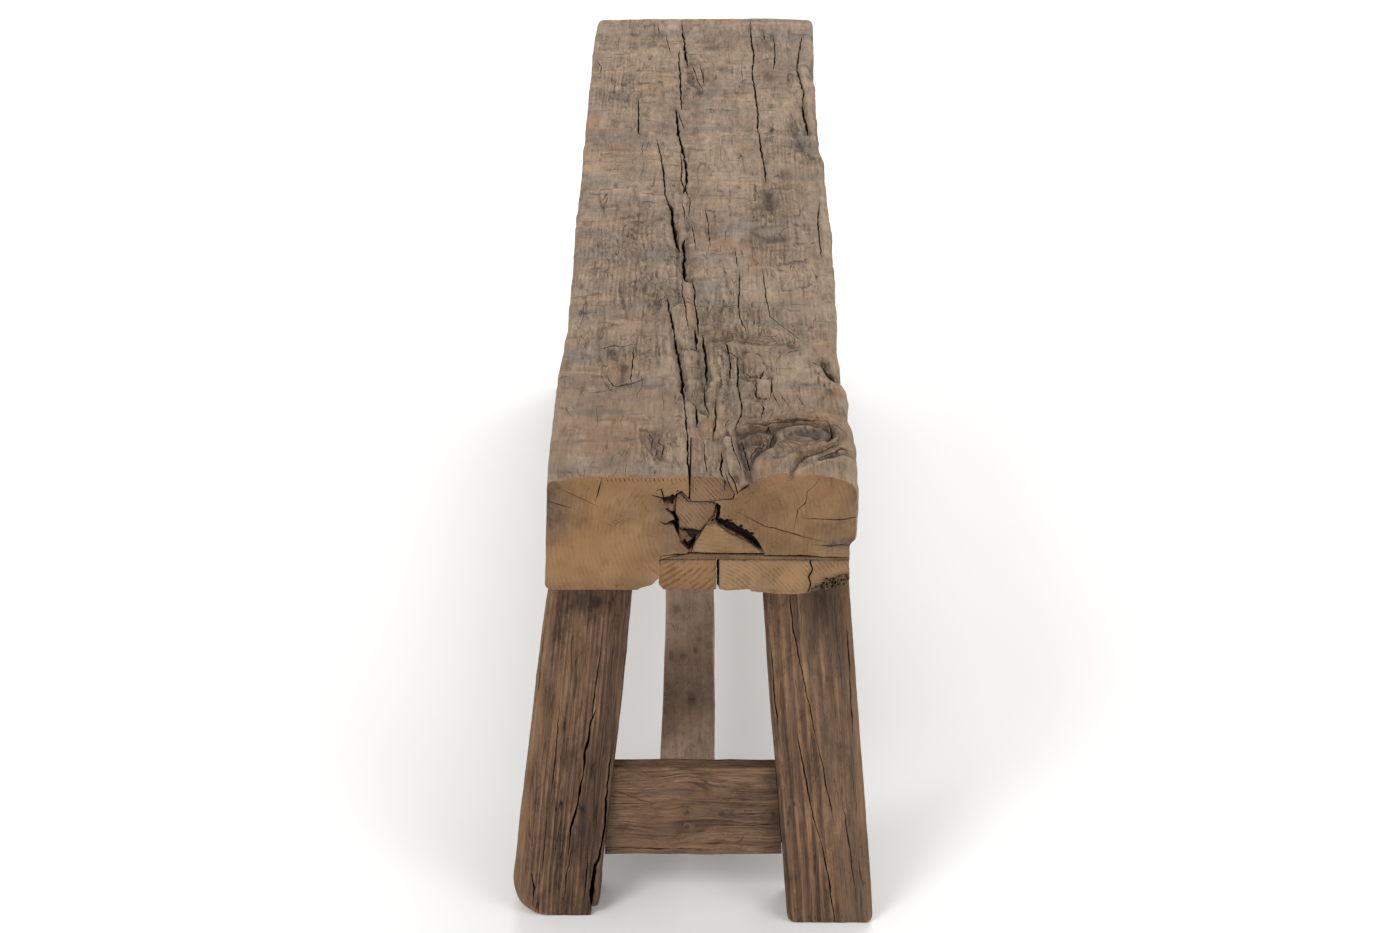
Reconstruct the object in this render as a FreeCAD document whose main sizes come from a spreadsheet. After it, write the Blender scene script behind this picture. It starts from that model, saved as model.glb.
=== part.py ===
import FreeCAD, Part
import os

import Sketcher
from FreeCAD import Placement, Rotation, Vector

# An old timber bench: a hewn beam as its seat, four splayed legs, two end stretchers and one long
# stretcher. The near end of the beam, at +X, is repaired with let-in pieces of other wood.
# X runs along the bench, Y across it and Z up. The origin lies on the floor under its middle.

# Driving sizes in millimetres, one cell each.
SIZES = {
    # Seat beam
    "seat_length": 1700.0,
    "seat_width": 290.0,
    "seat_thickness": 112.0,
    "seat_height": 490.0,
    "seat_shift": 9.0,
    "seat_arris": 5.0,
    "crack_width": 3.5,
    "crack_depth": 34.0,
    # Legs: insets from the seat's ends and sides, widths across the bench
    "leg_depth": 80.0,
    "leg_arris": 4.0,
    "leg_end_inset": 88.0,
    "left_side_inset": 1.0,
    "right_side_inset": 5.0,
    "feet_spread": 356.0,
    "near_left_top_width": 81.0,
    "near_left_foot_width": 88.0,
    "near_left_foot_inset": 67.0,
    "near_left_wear_height": 40.0,
    "near_left_wear_outer": 39.0,
    "near_left_wear_inner": 13.0,
    "near_right_top_width": 85.0,
    "near_right_foot_width": 86.0,
    "near_right_foot_inset": 52.0,
    "near_right_wear_height": 10.0,
    "near_right_wear_outer": 8.0,
    "near_right_wear_inner": 9.0,
    "far_left_top_width": 84.0,
    "far_left_foot_width": 87.0,
    "far_left_foot_inset": 62.0,
    "far_left_wear_height": 16.0,
    "far_left_wear_outer": 11.0,
    "far_left_wear_inner": 7.0,
    "far_right_top_width": 83.0,
    "far_right_foot_width": 88.0,
    "far_right_foot_inset": 58.0,
    "far_right_wear_height": 22.0,
    "far_right_wear_outer": 16.0,
    "far_right_wear_inner": 8.0,
    # Joints between the legs and the seat
    "leg_tenon_width": 42.0,
    "leg_tenon_depth": 38.0,
    "leg_tenon_length": 70.0,
    "tenon_wedge_length": 32.0,
    "tenon_wedge_thick": 5.0,
    "tenon_wedge_thin": 1.0,
    "joint_gap": 0.2,
    # Stretchers
    "end_stretcher_inset": 82.0,
    "end_stretcher_thickness": 23.0,
    "end_stretcher_low": 60.0,
    "end_stretcher_width": 95.0,
    "end_tenon_thickness": 14.0,
    "end_tenon_length": 34.0,
    "end_tenon_shoulder": 12.0,
    "long_stretcher_width": 53.0,
    "long_stretcher_tall": 85.0,
    "long_stretcher_shift": -5.5,
    "long_stretcher_arris": 3.0,
    # Screws and plugs of the long stretcher
    "screw_top_height": 107.0,
    "screw_spacing": 16.0,
    "screw_radius": 2.5,
    "screw_head_radius": 4.5,
    "screw_head_tall": 3.0,
    "screw_length": 76.0,
    "screw_tip": 7.0,
    "plug_radius": 5.0,
    "plug_length": 5.0,
    # Repairs under the near end
    "patch_length": 320.0,
    "patch_thickness": 31.5,
    "strip_thickness": 6.0,
    "patch_slot": 2.7,
    "rebate_start": 106.0,
    "left_patch_width": 52.5,
    "right_patch_setback": 6.5,
    "patch_screw_length": 50.0,
    # Repairs inside the near end
    "inlay_length": 112.0,
    "inlay_start": 132.0,
    "inlay_width": 44.0,
    "inlay_thickness": 22.0,
    "core_start": 119.5,
    "core_tenon_gap": 12.0,
    "core_depth": 120.0,
    # Overrun of every cut past the face that it opens
    "overrun": 10.0,
}

doc = FreeCAD.newDocument("bench")
sheet = doc.addObject("Spreadsheet::Sheet", "sizes")
for row, (alias, size) in enumerate(SIZES.items(), 1):
    sheet.set(f"A{row}", alias)
    sheet.set(f"B{row}", str(size))
    sheet.setAlias(f"B{row}", alias)
doc.recompute()

# Expressions that several pieces share
HALF = "(sizes.seat_length / 2)"
UNDERSIDE = "(sizes.seat_height - sizes.seat_thickness)"
SEAT_LEFT = "(sizes.seat_shift - sizes.seat_width / 2)"
SEAT_RIGHT = "(sizes.seat_shift + sizes.seat_width / 2)"
PATCH_TOP = f"({UNDERSIDE} + sizes.patch_thickness)"
REBATE_TOP = f"({PATCH_TOP} + sizes.strip_thickness)"
REBATE_LEFT = f"({SEAT_LEFT} + sizes.rebate_start)"
SLOT_LEFT = f"({REBATE_LEFT} + sizes.left_patch_width)"
PATCH_START = f"({HALF} - sizes.patch_length)"
STRETCHER_TOP = "(sizes.end_stretcher_low + sizes.end_stretcher_width)"
STRETCHER_FRONT = f"({HALF} - sizes.end_stretcher_inset)"
STRETCHER_BACK = f"({STRETCHER_FRONT} - sizes.end_stretcher_thickness)"
INLAY_BOTTOM = "(sizes.seat_height - sizes.inlay_thickness)"

LEGS = {"near_left": (1, -1), "near_right": (1, 1), "far_left": (-1, -1), "far_right": (-1, 1)}
SIDES = {-1: ("left", SEAT_LEFT), 1: ("right", SEAT_RIGHT)}
ENDS = {1: "near", -1: "far"}


def sized(alias):
    """Read one driving size from the sheet."""
    return float(sheet.get(alias))


def origin_plane(body, role):
    """Find one of a body's own origin planes."""
    return next(plane for plane in body.Origin.OriginFeatures if plane.Role == role)


def outline(body, name, role, offset, corners):
    """Sketch a closed outline whose corners are pairs of expressions, each bound to the sheet."""
    sketch = body.newObject("Sketcher::SketchObject", name)
    sketch.AttachmentSupport = [(origin_plane(body, role), "")]
    sketch.MapMode = "FlatFace"
    sketch.setExpression("AttachmentOffset.Base.z", offset)
    spots = [Vector(sketch.evalExpression(u), sketch.evalExpression(v), 0) for u, v in corners]
    for start, end in zip(spots, spots[1:] + spots[:1]):
        sketch.addGeometry(Part.LineSegment(start, end))
    for edge in range(len(corners)):
        following = (edge + 1) % len(corners)
        sketch.addConstraint(Sketcher.Constraint("Coincident", edge, 2, following, 1))
    for edge, (u, v) in enumerate(corners):
        across = Sketcher.Constraint("DistanceX", -1, 1, edge, 1, spots[edge].x)
        sketch.setExpression(f"Constraints[{sketch.addConstraint(across)}]", u)
        up = Sketcher.Constraint("DistanceY", -1, 1, edge, 1, spots[edge].y)
        sketch.setExpression(f"Constraints[{sketch.addConstraint(up)}]", v)
    return sketch


def pad(body, name, offset, corners, length):
    """Pad an outline in the YZ plane from offset towards -X."""
    feature = body.newObject("PartDesign::Pad", name)
    feature.Profile = outline(body, f"{name}_outline", "YZ_Plane", offset, corners)
    feature.setExpression("Length", length)
    feature.Reversed = True
    return feature


def prism(name, offset, corners, length):
    """A body of one pad."""
    body = doc.addObject("PartDesign::Body", name)
    pad(body, f"{name}_pad", offset, corners, length)
    return body


def loft(body, name, levels):
    """Loft level outlines into a straight-sided block; levels are pairs of height and corners."""
    sketches = [
        outline(body, f"{name}_level_{number}", "XY_Plane", height, corners)
        for number, (height, corners) in enumerate(levels)
    ]
    feature = body.newObject("PartDesign::AdditiveLoft", name)
    feature.Profile = sketches[0]
    feature.Sections = sketches[1:]
    feature.Ruled = True
    return feature


def block(name, low, high):
    """A box between two corners given as expressions."""
    box = doc.addObject("Part::Box", name)
    for side, axis, start, end in zip(("Length", "Width", "Height"), "xyz", low, high):
        box.setExpression(side, f"({end}) - ({start})")
        box.setExpression(f"Placement.Base.{axis}", start)
    return box


def cut(name, base, tools):
    """Cut several tools out of a base."""
    joined = doc.addObject("Part::MultiFuse", f"{name}_cuts")
    joined.Shapes = tools
    feature = doc.addObject("Part::Cut", name)
    feature.Base = base
    feature.Tool = joined
    return feature


def group(name, pieces):
    """Hold identical pieces as one sub-part."""
    feature = doc.addObject("Part::Compound", name)
    feature.Links = pieces
    return feature


# The hewn beam. Each station is a place along the beam as a share of its length from the far end,
# then how far its left side, its right side high up and its right side low down lie from the plain
# sides, as shares of the width, then the top's height at each top place, as shares of the thickness.
TOP_PLACE_SHARES = (0.03, 0.16, 0.35, 0.50, 0.655, 0.80, 0.93)
STATION_SHARES = (
    (0.000, 0.001, -0.001, -0.010, (0.975, 0.995, 1.000, 0.990, 0.995, 1.000, 0.970)),
    (0.075, -0.002, -0.018, -0.014, (0.985, 1.000, 1.005, 0.985, 1.000, 1.000, 0.980)),
    (0.155, -0.001, -0.024, -0.012, (0.985, 1.005, 1.000, 0.985, 1.005, 0.990, 0.970)),
    (0.260, 0.000, -0.010, -0.016, (0.975, 0.995, 1.005, 0.980, 0.995, 1.005, 0.985)),
    (0.370, 0.004, -0.009, -0.010, (0.980, 1.000, 0.995, 0.975, 1.000, 0.995, 0.975)),
    (0.480, 0.010, -0.010, -0.012, (0.975, 0.990, 1.000, 0.975, 0.995, 1.000, 0.980)),
    (0.610, 0.012, -0.017, -0.014, (0.970, 0.995, 1.000, 0.970, 0.990, 0.995, 0.975)),
    (0.750, -0.002, -0.030, -0.020, (0.975, 1.000, 1.000, 0.975, 0.975, 0.985, 0.965)),
    (0.855, -0.001, -0.008, -0.014, (0.980, 1.000, 1.005, 0.980, 0.970, 1.000, 0.975)),
    (0.922, -0.003, -0.010, -0.012, (0.985, 1.000, 1.010, 0.990, 0.965, 0.985, 0.970)),
    (0.965, -0.004, 0.008, -0.014, (0.985, 1.005, 1.015, 0.990, 0.950, 1.010, 0.995)),
    (1.000, 0.003, 0.000, -0.022, (0.984, 1.015, 1.035, 1.025, 0.950, 1.040, 1.015)),
)
SIDE_HIGH_SHARE = 0.90
SIDE_LOW_SHARE = 0.55


def beam_section(place_share, left_share, right_high_share, right_low_share, top_shares):
    """One closed section of the hewn beam."""
    long, wide, thick = sized("seat_length"), sized("seat_width"), sized("seat_thickness")
    arris = sized("seat_arris")
    x = (place_share - 1 / 2) * long
    plain_left = sized("seat_shift") - wide / 2
    left = plain_left + left_share * wide
    right_high = plain_left + (1 + right_high_share) * wide
    right_low = plain_left + (1 + right_low_share) * wide
    bottom = sized("seat_height") - thick
    corners = [(left + arris, bottom), (left, bottom + arris)]
    corners.append((left, bottom + SIDE_HIGH_SHARE * thick))
    for place, top_share in zip(TOP_PLACE_SHARES, top_shares):
        corners.append((plain_left + place * wide, bottom + top_share * thick))
    corners.append((right_high, bottom + SIDE_HIGH_SHARE * thick))
    corners.append(((right_high + right_low) / 2, bottom + SIDE_LOW_SHARE * thick))
    corners += [(right_low, bottom + arris), (right_low - arris, bottom)]
    return Part.makePolygon([Vector(x, y, z) for y, z in corners + corners[:1]])


hewn_beam = doc.addObject("Part::Feature", "hewn_beam")
hewn_beam.Shape = Part.makeLoft([beam_section(*station) for station in STATION_SHARES], True, True)

# Drying cracks of the top. Each point is a share of the seat's length from the far end, a share of
# its width from the left, and the crack's opening there in crack widths.
CRACK_SHARES = {
    "main_crack": (
        (-0.01, 0.455, 0.7), (0.13, 0.450, 0.9), (0.27, 0.446, 1.0), (0.38, 0.466, 1.6),
        (0.47, 0.452, 1.2), (0.53, 0.438, 1.7), (0.60, 0.440, 2.4), (0.655, 0.462, 1.4),
        (0.69, 0.470, 0.5),
    ),
    "near_crack": (
        (0.70, 0.430, 0.5), (0.755, 0.445, 1.0), (0.80, 0.452, 1.5), (0.86, 0.462, 1.3),
        (0.92, 0.465, 0.8),
    ),
    "side_crack": (
        (-0.01, 0.745, 0.4), (0.09, 0.752, 0.6), (0.20, 0.748, 0.7), (0.31, 0.752, 0.4),
    ),
}


def crack_tool(name, points):
    """A thin upright cutter along a crack, open at the top of the beam."""
    long, wide, opening = sized("seat_length"), sized("seat_width"), sized("crack_width")
    left = sized("seat_shift") - wide / 2
    floor = sized("seat_height") - sized("crack_depth")
    run = [((x - 1 / 2) * long, left + y * wide, width * opening / 2) for x, y, width in points]
    border = [Vector(x, y - half, floor) for x, y, half in run]
    border += [Vector(x, y + half, floor) for x, y, half in reversed(run)]
    tool = doc.addObject("Part::Feature", name)
    face = Part.Face(Part.makePolygon(border + border[:1]))
    tool.Shape = face.extrude(Vector(0, 0, sized("crack_depth") + sized("overrun")))
    return tool


crack_tools = [crack_tool(name, points) for name, points in CRACK_SHARES.items()]


# Legs
def leg_sign(sign, expression):
    """Turn an expression to the far end or the left side."""
    return f"({expression})" if sign > 0 else f"(-({expression}))"


def leg_rise(leg):
    """Height from the top of a leg's worn foot to the seat's underside."""
    return f"({UNDERSIDE} - sizes.{leg}_wear_height)"


def leg_edges(leg, level):
    """Outer and inner X, then outer and inner Y, of a leg at its top or at its foot."""
    end, side = LEGS[leg]
    side_name, seat_side = SIDES[side]
    width = f"sizes.{leg}_{level}_width"
    if level == "top":
        x_outer = leg_sign(end, f"{HALF} - sizes.leg_end_inset")
        y_outer = f"({seat_side} - {side} * sizes.{side_name}_side_inset)"
    else:
        x_outer = leg_sign(end, f"{HALF} - sizes.{leg}_foot_inset")
        y_outer = f"({side} * sizes.feet_spread / 2)"
    x_inner = f"({x_outer} - {end} * sizes.leg_depth)"
    y_inner = f"({y_outer} - {side} * {width})"
    return x_outer, x_inner, y_outer, y_inner


def leg_corners(leg, edges):
    """Eight corners of a leg's level outline, with its worn arrises."""
    end, side = LEGS[leg]
    x_outer, x_inner, y_outer, y_inner = edges
    in_x = f"{end} * sizes.leg_arris"
    in_y = f"{side} * sizes.leg_arris"
    return [
        (x_outer, f"{y_outer} - {in_y}"), (x_outer, f"{y_inner} + {in_y}"),
        (f"{x_outer} - {in_x}", y_inner), (f"{x_inner} + {in_x}", y_inner),
        (x_inner, f"{y_inner} + {in_y}"), (x_inner, f"{y_outer} - {in_y}"),
        (f"{x_inner} + {in_x}", y_outer), (f"{x_outer} - {in_x}", y_outer),
    ]


def leg_axis(leg, above):
    """The middle of a leg, carried on along its lean to a height above the seat's underside."""
    top, foot = leg_edges(leg, "top"), leg_edges(leg, "foot")
    middles = []
    for outer, inner in ((0, 1), (2, 3)):
        high = f"({top[outer]} + {top[inner]}) / 2"
        low = f"({foot[outer]} + {foot[inner]}) / 2"
        middles.append(f"({high} + ({high} - {low}) * ({above}) / {leg_rise(leg)})")
    return middles


def leg_block(body, name, leg, levels):
    """A four-sided block on a leg's axis; levels are height above the seat's underside, X and Y size."""
    sections = []
    for above, depth, width in levels:
        x, y = leg_axis(leg, above)
        low_x, high_x = f"{x} - ({depth}) / 2", f"{x} + ({depth}) / 2"
        low_y, high_y = f"{y} - ({width}) / 2", f"{y} + ({width}) / 2"
        corners = [(low_x, low_y), (high_x, low_y), (high_x, high_y), (low_x, high_y)]
        sections.append((f"{UNDERSIDE} + {above}", corners))
    return loft(body, name, sections)


def new_body(name):
    """An empty body."""
    return doc.addObject("PartDesign::Body", name)


def leg_body(leg):
    """A leg with its worn foot and the tenon that enters the seat."""
    side = LEGS[leg][1]
    foot = leg_edges(leg, "foot")
    worn = (
        foot[0], foot[1],
        f"({foot[2]} - {side} * sizes.{leg}_wear_outer)",
        f"({foot[3]} + {side} * sizes.{leg}_wear_inner)",
    )
    body = new_body(f"{leg}_timber")
    loft(body, f"{leg}_shaft", [
        ("0", leg_corners(leg, worn)),
        (f"sizes.{leg}_wear_height", leg_corners(leg, foot)),
        (UNDERSIDE, leg_corners(leg, leg_edges(leg, "top"))),
    ])
    leg_block(body, f"{leg}_tenon", leg, [
        ("0", "sizes.leg_tenon_depth", "sizes.leg_tenon_width"),
        ("sizes.leg_tenon_length", "sizes.leg_tenon_depth", "sizes.leg_tenon_width"),
    ])
    return body


def leg_mortise(leg):
    """The cutter of the mortise that a leg's tenon fills, with the joint's gap all round."""
    size = [f"{size} + 2 * sizes.joint_gap" for size in ("sizes.leg_tenon_depth", "sizes.leg_tenon_width")]
    body = new_body(f"{leg}_mortise")
    leg_block(body, f"{leg}_mortise_block", leg, [
        ("-sizes.overrun", *size),
        ("(sizes.leg_tenon_length + sizes.joint_gap)", *size),
    ])
    return body


def tenon_wedge(leg, name, depth):
    """The fox wedge in a tenon's end, thick end up, as deep along the bench as asked."""
    start = "(sizes.leg_tenon_length - sizes.tenon_wedge_length)"
    body = new_body(f"{leg}_{name}")
    leg_block(body, f"{leg}_{name}_block", leg, [
        (start, depth, "sizes.tenon_wedge_thin"),
        ("sizes.leg_tenon_length", depth, "sizes.tenon_wedge_thick"),
    ])
    return body


timbers = {leg: leg_body(leg) for leg in LEGS}
mortises = {leg: leg_mortise(leg) for leg in LEGS}
wedges = [tenon_wedge(leg, "fox_wedge", "sizes.leg_tenon_depth") for leg in LEGS]
kerfs = {leg: tenon_wedge(leg, "kerf", "sizes.leg_tenon_depth + 2 * sizes.overrun") for leg in LEGS}


# End stretchers
def leg_face(leg, height):
    """Y of a leg's inner face at a height."""
    top, foot = leg_edges(leg, "top")[3], leg_edges(leg, "foot")[3]
    return f"({foot} + ({top} - {foot}) * ({height} - sizes.{leg}_wear_height) / {leg_rise(leg)})"


def stretcher_corners(end, low, high, reach):
    """Four corners between the inner faces of one end's legs, each end reaching on into its leg."""
    left, right = f"{ENDS[end]}_left", f"{ENDS[end]}_right"
    return [
        (f"{leg_face(left, low)} - ({reach})", low), (f"{leg_face(right, low)} + ({reach})", low),
        (f"{leg_face(right, high)} + ({reach})", high), (f"{leg_face(left, high)} - ({reach})", high),
    ]


def end_front(end, inwards):
    """The X face, nearest +X, of something in an end stretcher that starts inwards of its outer face."""
    if end > 0:
        return f"({STRETCHER_FRONT} - ({inwards}))"
    return f"(-({STRETCHER_BACK}) - ({inwards}))"


def end_tongue(body, name, end, gap):
    """The tongue that runs through an end stretcher and ends in both tenons, grown by a gap."""
    low = f"(sizes.end_stretcher_low + sizes.end_tenon_shoulder - ({gap}))"
    high = f"({STRETCHER_TOP} - sizes.end_tenon_shoulder + ({gap}))"
    inwards = f"(sizes.end_stretcher_thickness - sizes.end_tenon_thickness) / 2 - ({gap})"
    corners = stretcher_corners(end, low, high, f"sizes.end_tenon_length + ({gap})")
    pad(body, name, end_front(end, inwards), corners, f"sizes.end_tenon_thickness + 2 * ({gap})")


def end_stretcher_board(end):
    """An end stretcher between its shoulders, with its two tenons."""
    body = new_body(f"{ENDS[end]}_end_board")
    corners = stretcher_corners(end, "sizes.end_stretcher_low", STRETCHER_TOP, "0")
    pad(body, f"{ENDS[end]}_board", end_front(end, "0"), corners, "sizes.end_stretcher_thickness")
    end_tongue(body, f"{ENDS[end]}_tongue", end, "0")
    return body


def end_mortise(end):
    """The cutter of both mortises that an end stretcher's tenons fill."""
    body = new_body(f"{ENDS[end]}_end_mortise")
    end_tongue(body, f"{ENDS[end]}_mortise_tongue", end, "sizes.joint_gap")
    return body


boards = {end: end_stretcher_board(end) for end in ENDS}
end_mortises = {end: end_mortise(end) for end in ENDS}

# The long stretcher butts against the back of both end stretchers.
LONG_LEFT = "(sizes.long_stretcher_shift - sizes.long_stretcher_width / 2)"
LONG_RIGHT = "(sizes.long_stretcher_shift + sizes.long_stretcher_width / 2)"
LONG_LOW = f"({STRETCHER_TOP} - sizes.long_stretcher_tall)"
ARRIS = "sizes.long_stretcher_arris"
long_board = prism("long_board", STRETCHER_BACK, [
    (f"{LONG_LEFT} + {ARRIS}", LONG_LOW), (f"{LONG_RIGHT} - {ARRIS}", LONG_LOW),
    (LONG_RIGHT, f"{LONG_LOW} + {ARRIS}"), (LONG_RIGHT, f"{STRETCHER_TOP} - {ARRIS}"),
    (f"{LONG_RIGHT} - {ARRIS}", STRETCHER_TOP), (f"{LONG_LEFT} + {ARRIS}", STRETCHER_TOP),
    (LONG_LEFT, f"{STRETCHER_TOP} - {ARRIS}"), (LONG_LEFT, f"{LONG_LOW} + {ARRIS}"),
], f"2 * {STRETCHER_BACK}")

# Screws. A direction is the axis along which a screw is driven, its sign, and the turn from +Z.
DIRECTIONS = {
    "near": ("x", -1, Rotation(Vector(0, 1, 0), -90)),
    "far": ("x", 1, Rotation(Vector(0, 1, 0), 90)),
    "up": ("z", 1, Rotation()),
}
SHANK = "(sizes.screw_length - sizes.screw_head_tall - sizes.screw_tip)"
PATCH_SHANK = "(sizes.patch_screw_length - sizes.screw_head_tall - sizes.screw_tip)"
TIP_SHARE = 0.2


def round_piece(name, direction, start, along, low_radius, high_radius, length):
    """A round piece that starts a distance along its direction from a point given as expressions."""
    axis, sign, turn = DIRECTIONS[direction]
    piece = doc.addObject("Part::Cone", name)
    piece.Placement = Placement(Vector(), turn)
    piece.setExpression("Radius1", low_radius)
    piece.setExpression("Radius2", high_radius)
    piece.setExpression("Height", length)
    for letter, place in zip("xyz", start):
        moved = f"{place} + {sign} * ({along})" if letter == axis else place
        piece.setExpression(f"Placement.Base.{letter}", moved)
    return piece


def plug(name, direction, start, gap, extra):
    """A plug, or its bore when grown by a gap and an extra length outside the face."""
    piece = doc.addObject("Part::Cylinder", name)
    axis, sign, turn = DIRECTIONS[direction]
    piece.Placement = Placement(Vector(), turn)
    piece.setExpression("Radius", f"sizes.plug_radius + ({gap})")
    piece.setExpression("Height", f"sizes.plug_length + ({extra})")
    for letter, place in zip("xyz", start):
        moved = f"{place} - {sign} * ({extra})" if letter == axis else place
        piece.setExpression(f"Placement.Base.{letter}", moved)
    return piece


def screw(name, direction, start, sunk, shank, gap):
    """A countersunk screw whose head starts sunk below a face, or its hole when grown by a gap."""
    head = round_piece(f"{name}_head", direction, start, sunk, f"sizes.screw_head_radius + ({gap})",
                       f"sizes.screw_radius + ({gap})", "sizes.screw_head_tall")
    neck = f"{sunk} + sizes.screw_head_tall"
    body = doc.addObject("Part::Cylinder", f"{name}_shank")
    axis, sign, turn = DIRECTIONS[direction]
    body.Placement = Placement(Vector(), turn)
    body.setExpression("Radius", f"sizes.screw_radius + ({gap})")
    body.setExpression("Height", shank)
    for letter, place in zip("xyz", start):
        moved = f"{place} + {sign} * ({neck})" if letter == axis else place
        body.setExpression(f"Placement.Base.{letter}", moved)
    point = round_piece(f"{name}_tip", direction, start, f"{neck} + {shank}", f"sizes.screw_radius + ({gap})",
                        f"{TIP_SHARE} * sizes.screw_radius + ({gap})", f"sizes.screw_tip + ({gap})")
    whole = doc.addObject("Part::MultiFuse", name)
    whole.Shapes = [head, body, point]
    return whole


stretcher_screws, stretcher_plugs, stretcher_holes = [], [], []
for end, end_name in ENDS.items():
    face = f"({end} * {STRETCHER_FRONT})"
    for number in range(2):
        spot = (face, "sizes.long_stretcher_shift", f"(sizes.screw_top_height - {number} * sizes.screw_spacing)")
        name = f"{end_name}_screw_{number}"
        stretcher_plugs.append(plug(f"{name}_plug", end_name, spot, "0", "0"))
        stretcher_screws.append(screw(name, end_name, spot, "sizes.plug_length", SHANK, "0"))
        bore = plug(f"{name}_bore", end_name, spot, "sizes.joint_gap / 2", "sizes.overrun")
        hole = screw(f"{name}_hole", end_name, spot, "sizes.plug_length", SHANK, "sizes.joint_gap / 2")
        stretcher_holes += [bore, hole]

# Repairs under the near end: two boards and the thin strip above them.
RIGHT_PATCH_LEFT = f"({SLOT_LEFT} + sizes.patch_slot)"
RIGHT_PATCH_RIGHT = f"({SEAT_RIGHT} - sizes.right_patch_setback)"
rebate = block(
    "rebate",
    (PATCH_START, REBATE_LEFT, f"{UNDERSIDE} - sizes.overrun"),
    (f"{HALF} + sizes.overrun", f"{SEAT_RIGHT} + 2 * sizes.overrun", REBATE_TOP),
)
ARRIS_UNDER = "sizes.seat_arris"
strip_board = block("strip_board", (PATCH_START, REBATE_LEFT, PATCH_TOP), (HALF, RIGHT_PATCH_RIGHT, REBATE_TOP))
left_board = prism("left_board", HALF, [
    (f"{REBATE_LEFT} + {ARRIS_UNDER}", UNDERSIDE), (SLOT_LEFT, UNDERSIDE),
    (SLOT_LEFT, PATCH_TOP), (REBATE_LEFT, PATCH_TOP), (REBATE_LEFT, f"{UNDERSIDE} + {ARRIS_UNDER}"),
], "sizes.patch_length")
right_board = prism("right_board", HALF, [
    (RIGHT_PATCH_LEFT, UNDERSIDE), (f"{RIGHT_PATCH_RIGHT} - 2 * {ARRIS_UNDER}", UNDERSIDE),
    (RIGHT_PATCH_RIGHT, f"{UNDERSIDE} + 2 * {ARRIS_UNDER}"), (RIGHT_PATCH_RIGHT, PATCH_TOP),
    (RIGHT_PATCH_LEFT, PATCH_TOP),
], "sizes.patch_length")

# Places of the patches' screws: which patch, a share of its length from its inner end, a share of
# its width.
PATCH_SCREW_SHARES = (
    ("left", 0.12, 0.5), ("left", 0.44, 0.5),
    ("right", 0.10, 0.25), ("right", 0.10, 0.78), ("right", 0.88, 0.80),
)
PATCH_SIDES = {
    "left": (REBATE_LEFT, "sizes.left_patch_width"),
    "right": (RIGHT_PATCH_LEFT, f"({RIGHT_PATCH_RIGHT} - {RIGHT_PATCH_LEFT})"),
}
patch_screws, patch_holes = [], []
for number, (patch, along_share, across_share) in enumerate(PATCH_SCREW_SHARES):
    patch_left, patch_width = PATCH_SIDES[patch]
    spot = (
        f"({PATCH_START} + {along_share} * sizes.patch_length)",
        f"({patch_left} + {across_share} * {patch_width})",
        UNDERSIDE,
    )
    patch_screws.append(screw(f"patch_screw_{number}", "up", spot, "0", PATCH_SHANK, "0"))
    patch_holes.append(screw(f"patch_hole_{number}", "up", spot, "0", PATCH_SHANK, "sizes.joint_gap / 2"))

# Repairs inside the near end. Outlines are shares of the pocket's width and height, from its lower
# left corner.
CORE_SHARES = (
    (0.03, 0.0), (1.0, 0.0), (0.91, 0.25), (0.77, 0.48), (0.57, 0.64), (0.49, 0.86), (0.46, 1.0),
    (0.0, 1.0), (0.0, 0.78), (0.03, 0.25),
)
FILLER_SHARES = (
    (0.05, 0.50), (0.29, 0.43), (0.37, 0.61), (0.435, 0.75), (0.455, 0.91), (0.43, 0.99),
    (0.005, 0.99), (0.005, 0.785),
)
WEDGE_SHARES = (
    (0.175, 0.0), (0.985, 0.0), (0.80, 0.225), (0.61, 0.385), (0.465, 0.575), (0.355, 0.545),
    (0.30, 0.41), (0.24, 0.25),
)
INLAY_SHARES = (
    (0.0, 0.14), (0.06, 0.0), (0.96, 0.0), (1.0, 0.30), (0.83, 0.75), (0.70, 1.0),
)


def core_corners(shares):
    """Corners in the pocket of the beam's heart, between the strip and the inlay, clear of a leg's tenon."""
    tenon_middle = leg_axis("near_right", "sizes.leg_tenon_length")[1]
    left = f"({SEAT_LEFT} + sizes.core_start)"
    width = f"({tenon_middle} - sizes.leg_tenon_width / 2 - sizes.core_tenon_gap - {left})"
    height = f"({INLAY_BOTTOM} - {REBATE_TOP})"
    return [(f"{left} + {u} * {width}", f"{REBATE_TOP} + {v} * {height}") for u, v in shares]


def inlay_corners(gap):
    """Corners of the inlay, wider below, closed above the seat's top."""
    left = f"({SEAT_LEFT} + sizes.inlay_start)"
    width, height = "sizes.inlay_width", "sizes.inlay_thickness"
    corners = []
    for u, v in INLAY_SHARES:
        side = -1 if u < 1 / 2 else 1
        corners.append((f"{left} + {u} * {width} + {side} * ({gap})", f"{INLAY_BOTTOM} + {v} * {height}"))
    above = "sizes.seat_height + sizes.overrun"
    corners.append((corners[-1][0], above))
    corners.append((corners[0][0], above))
    return corners


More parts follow.
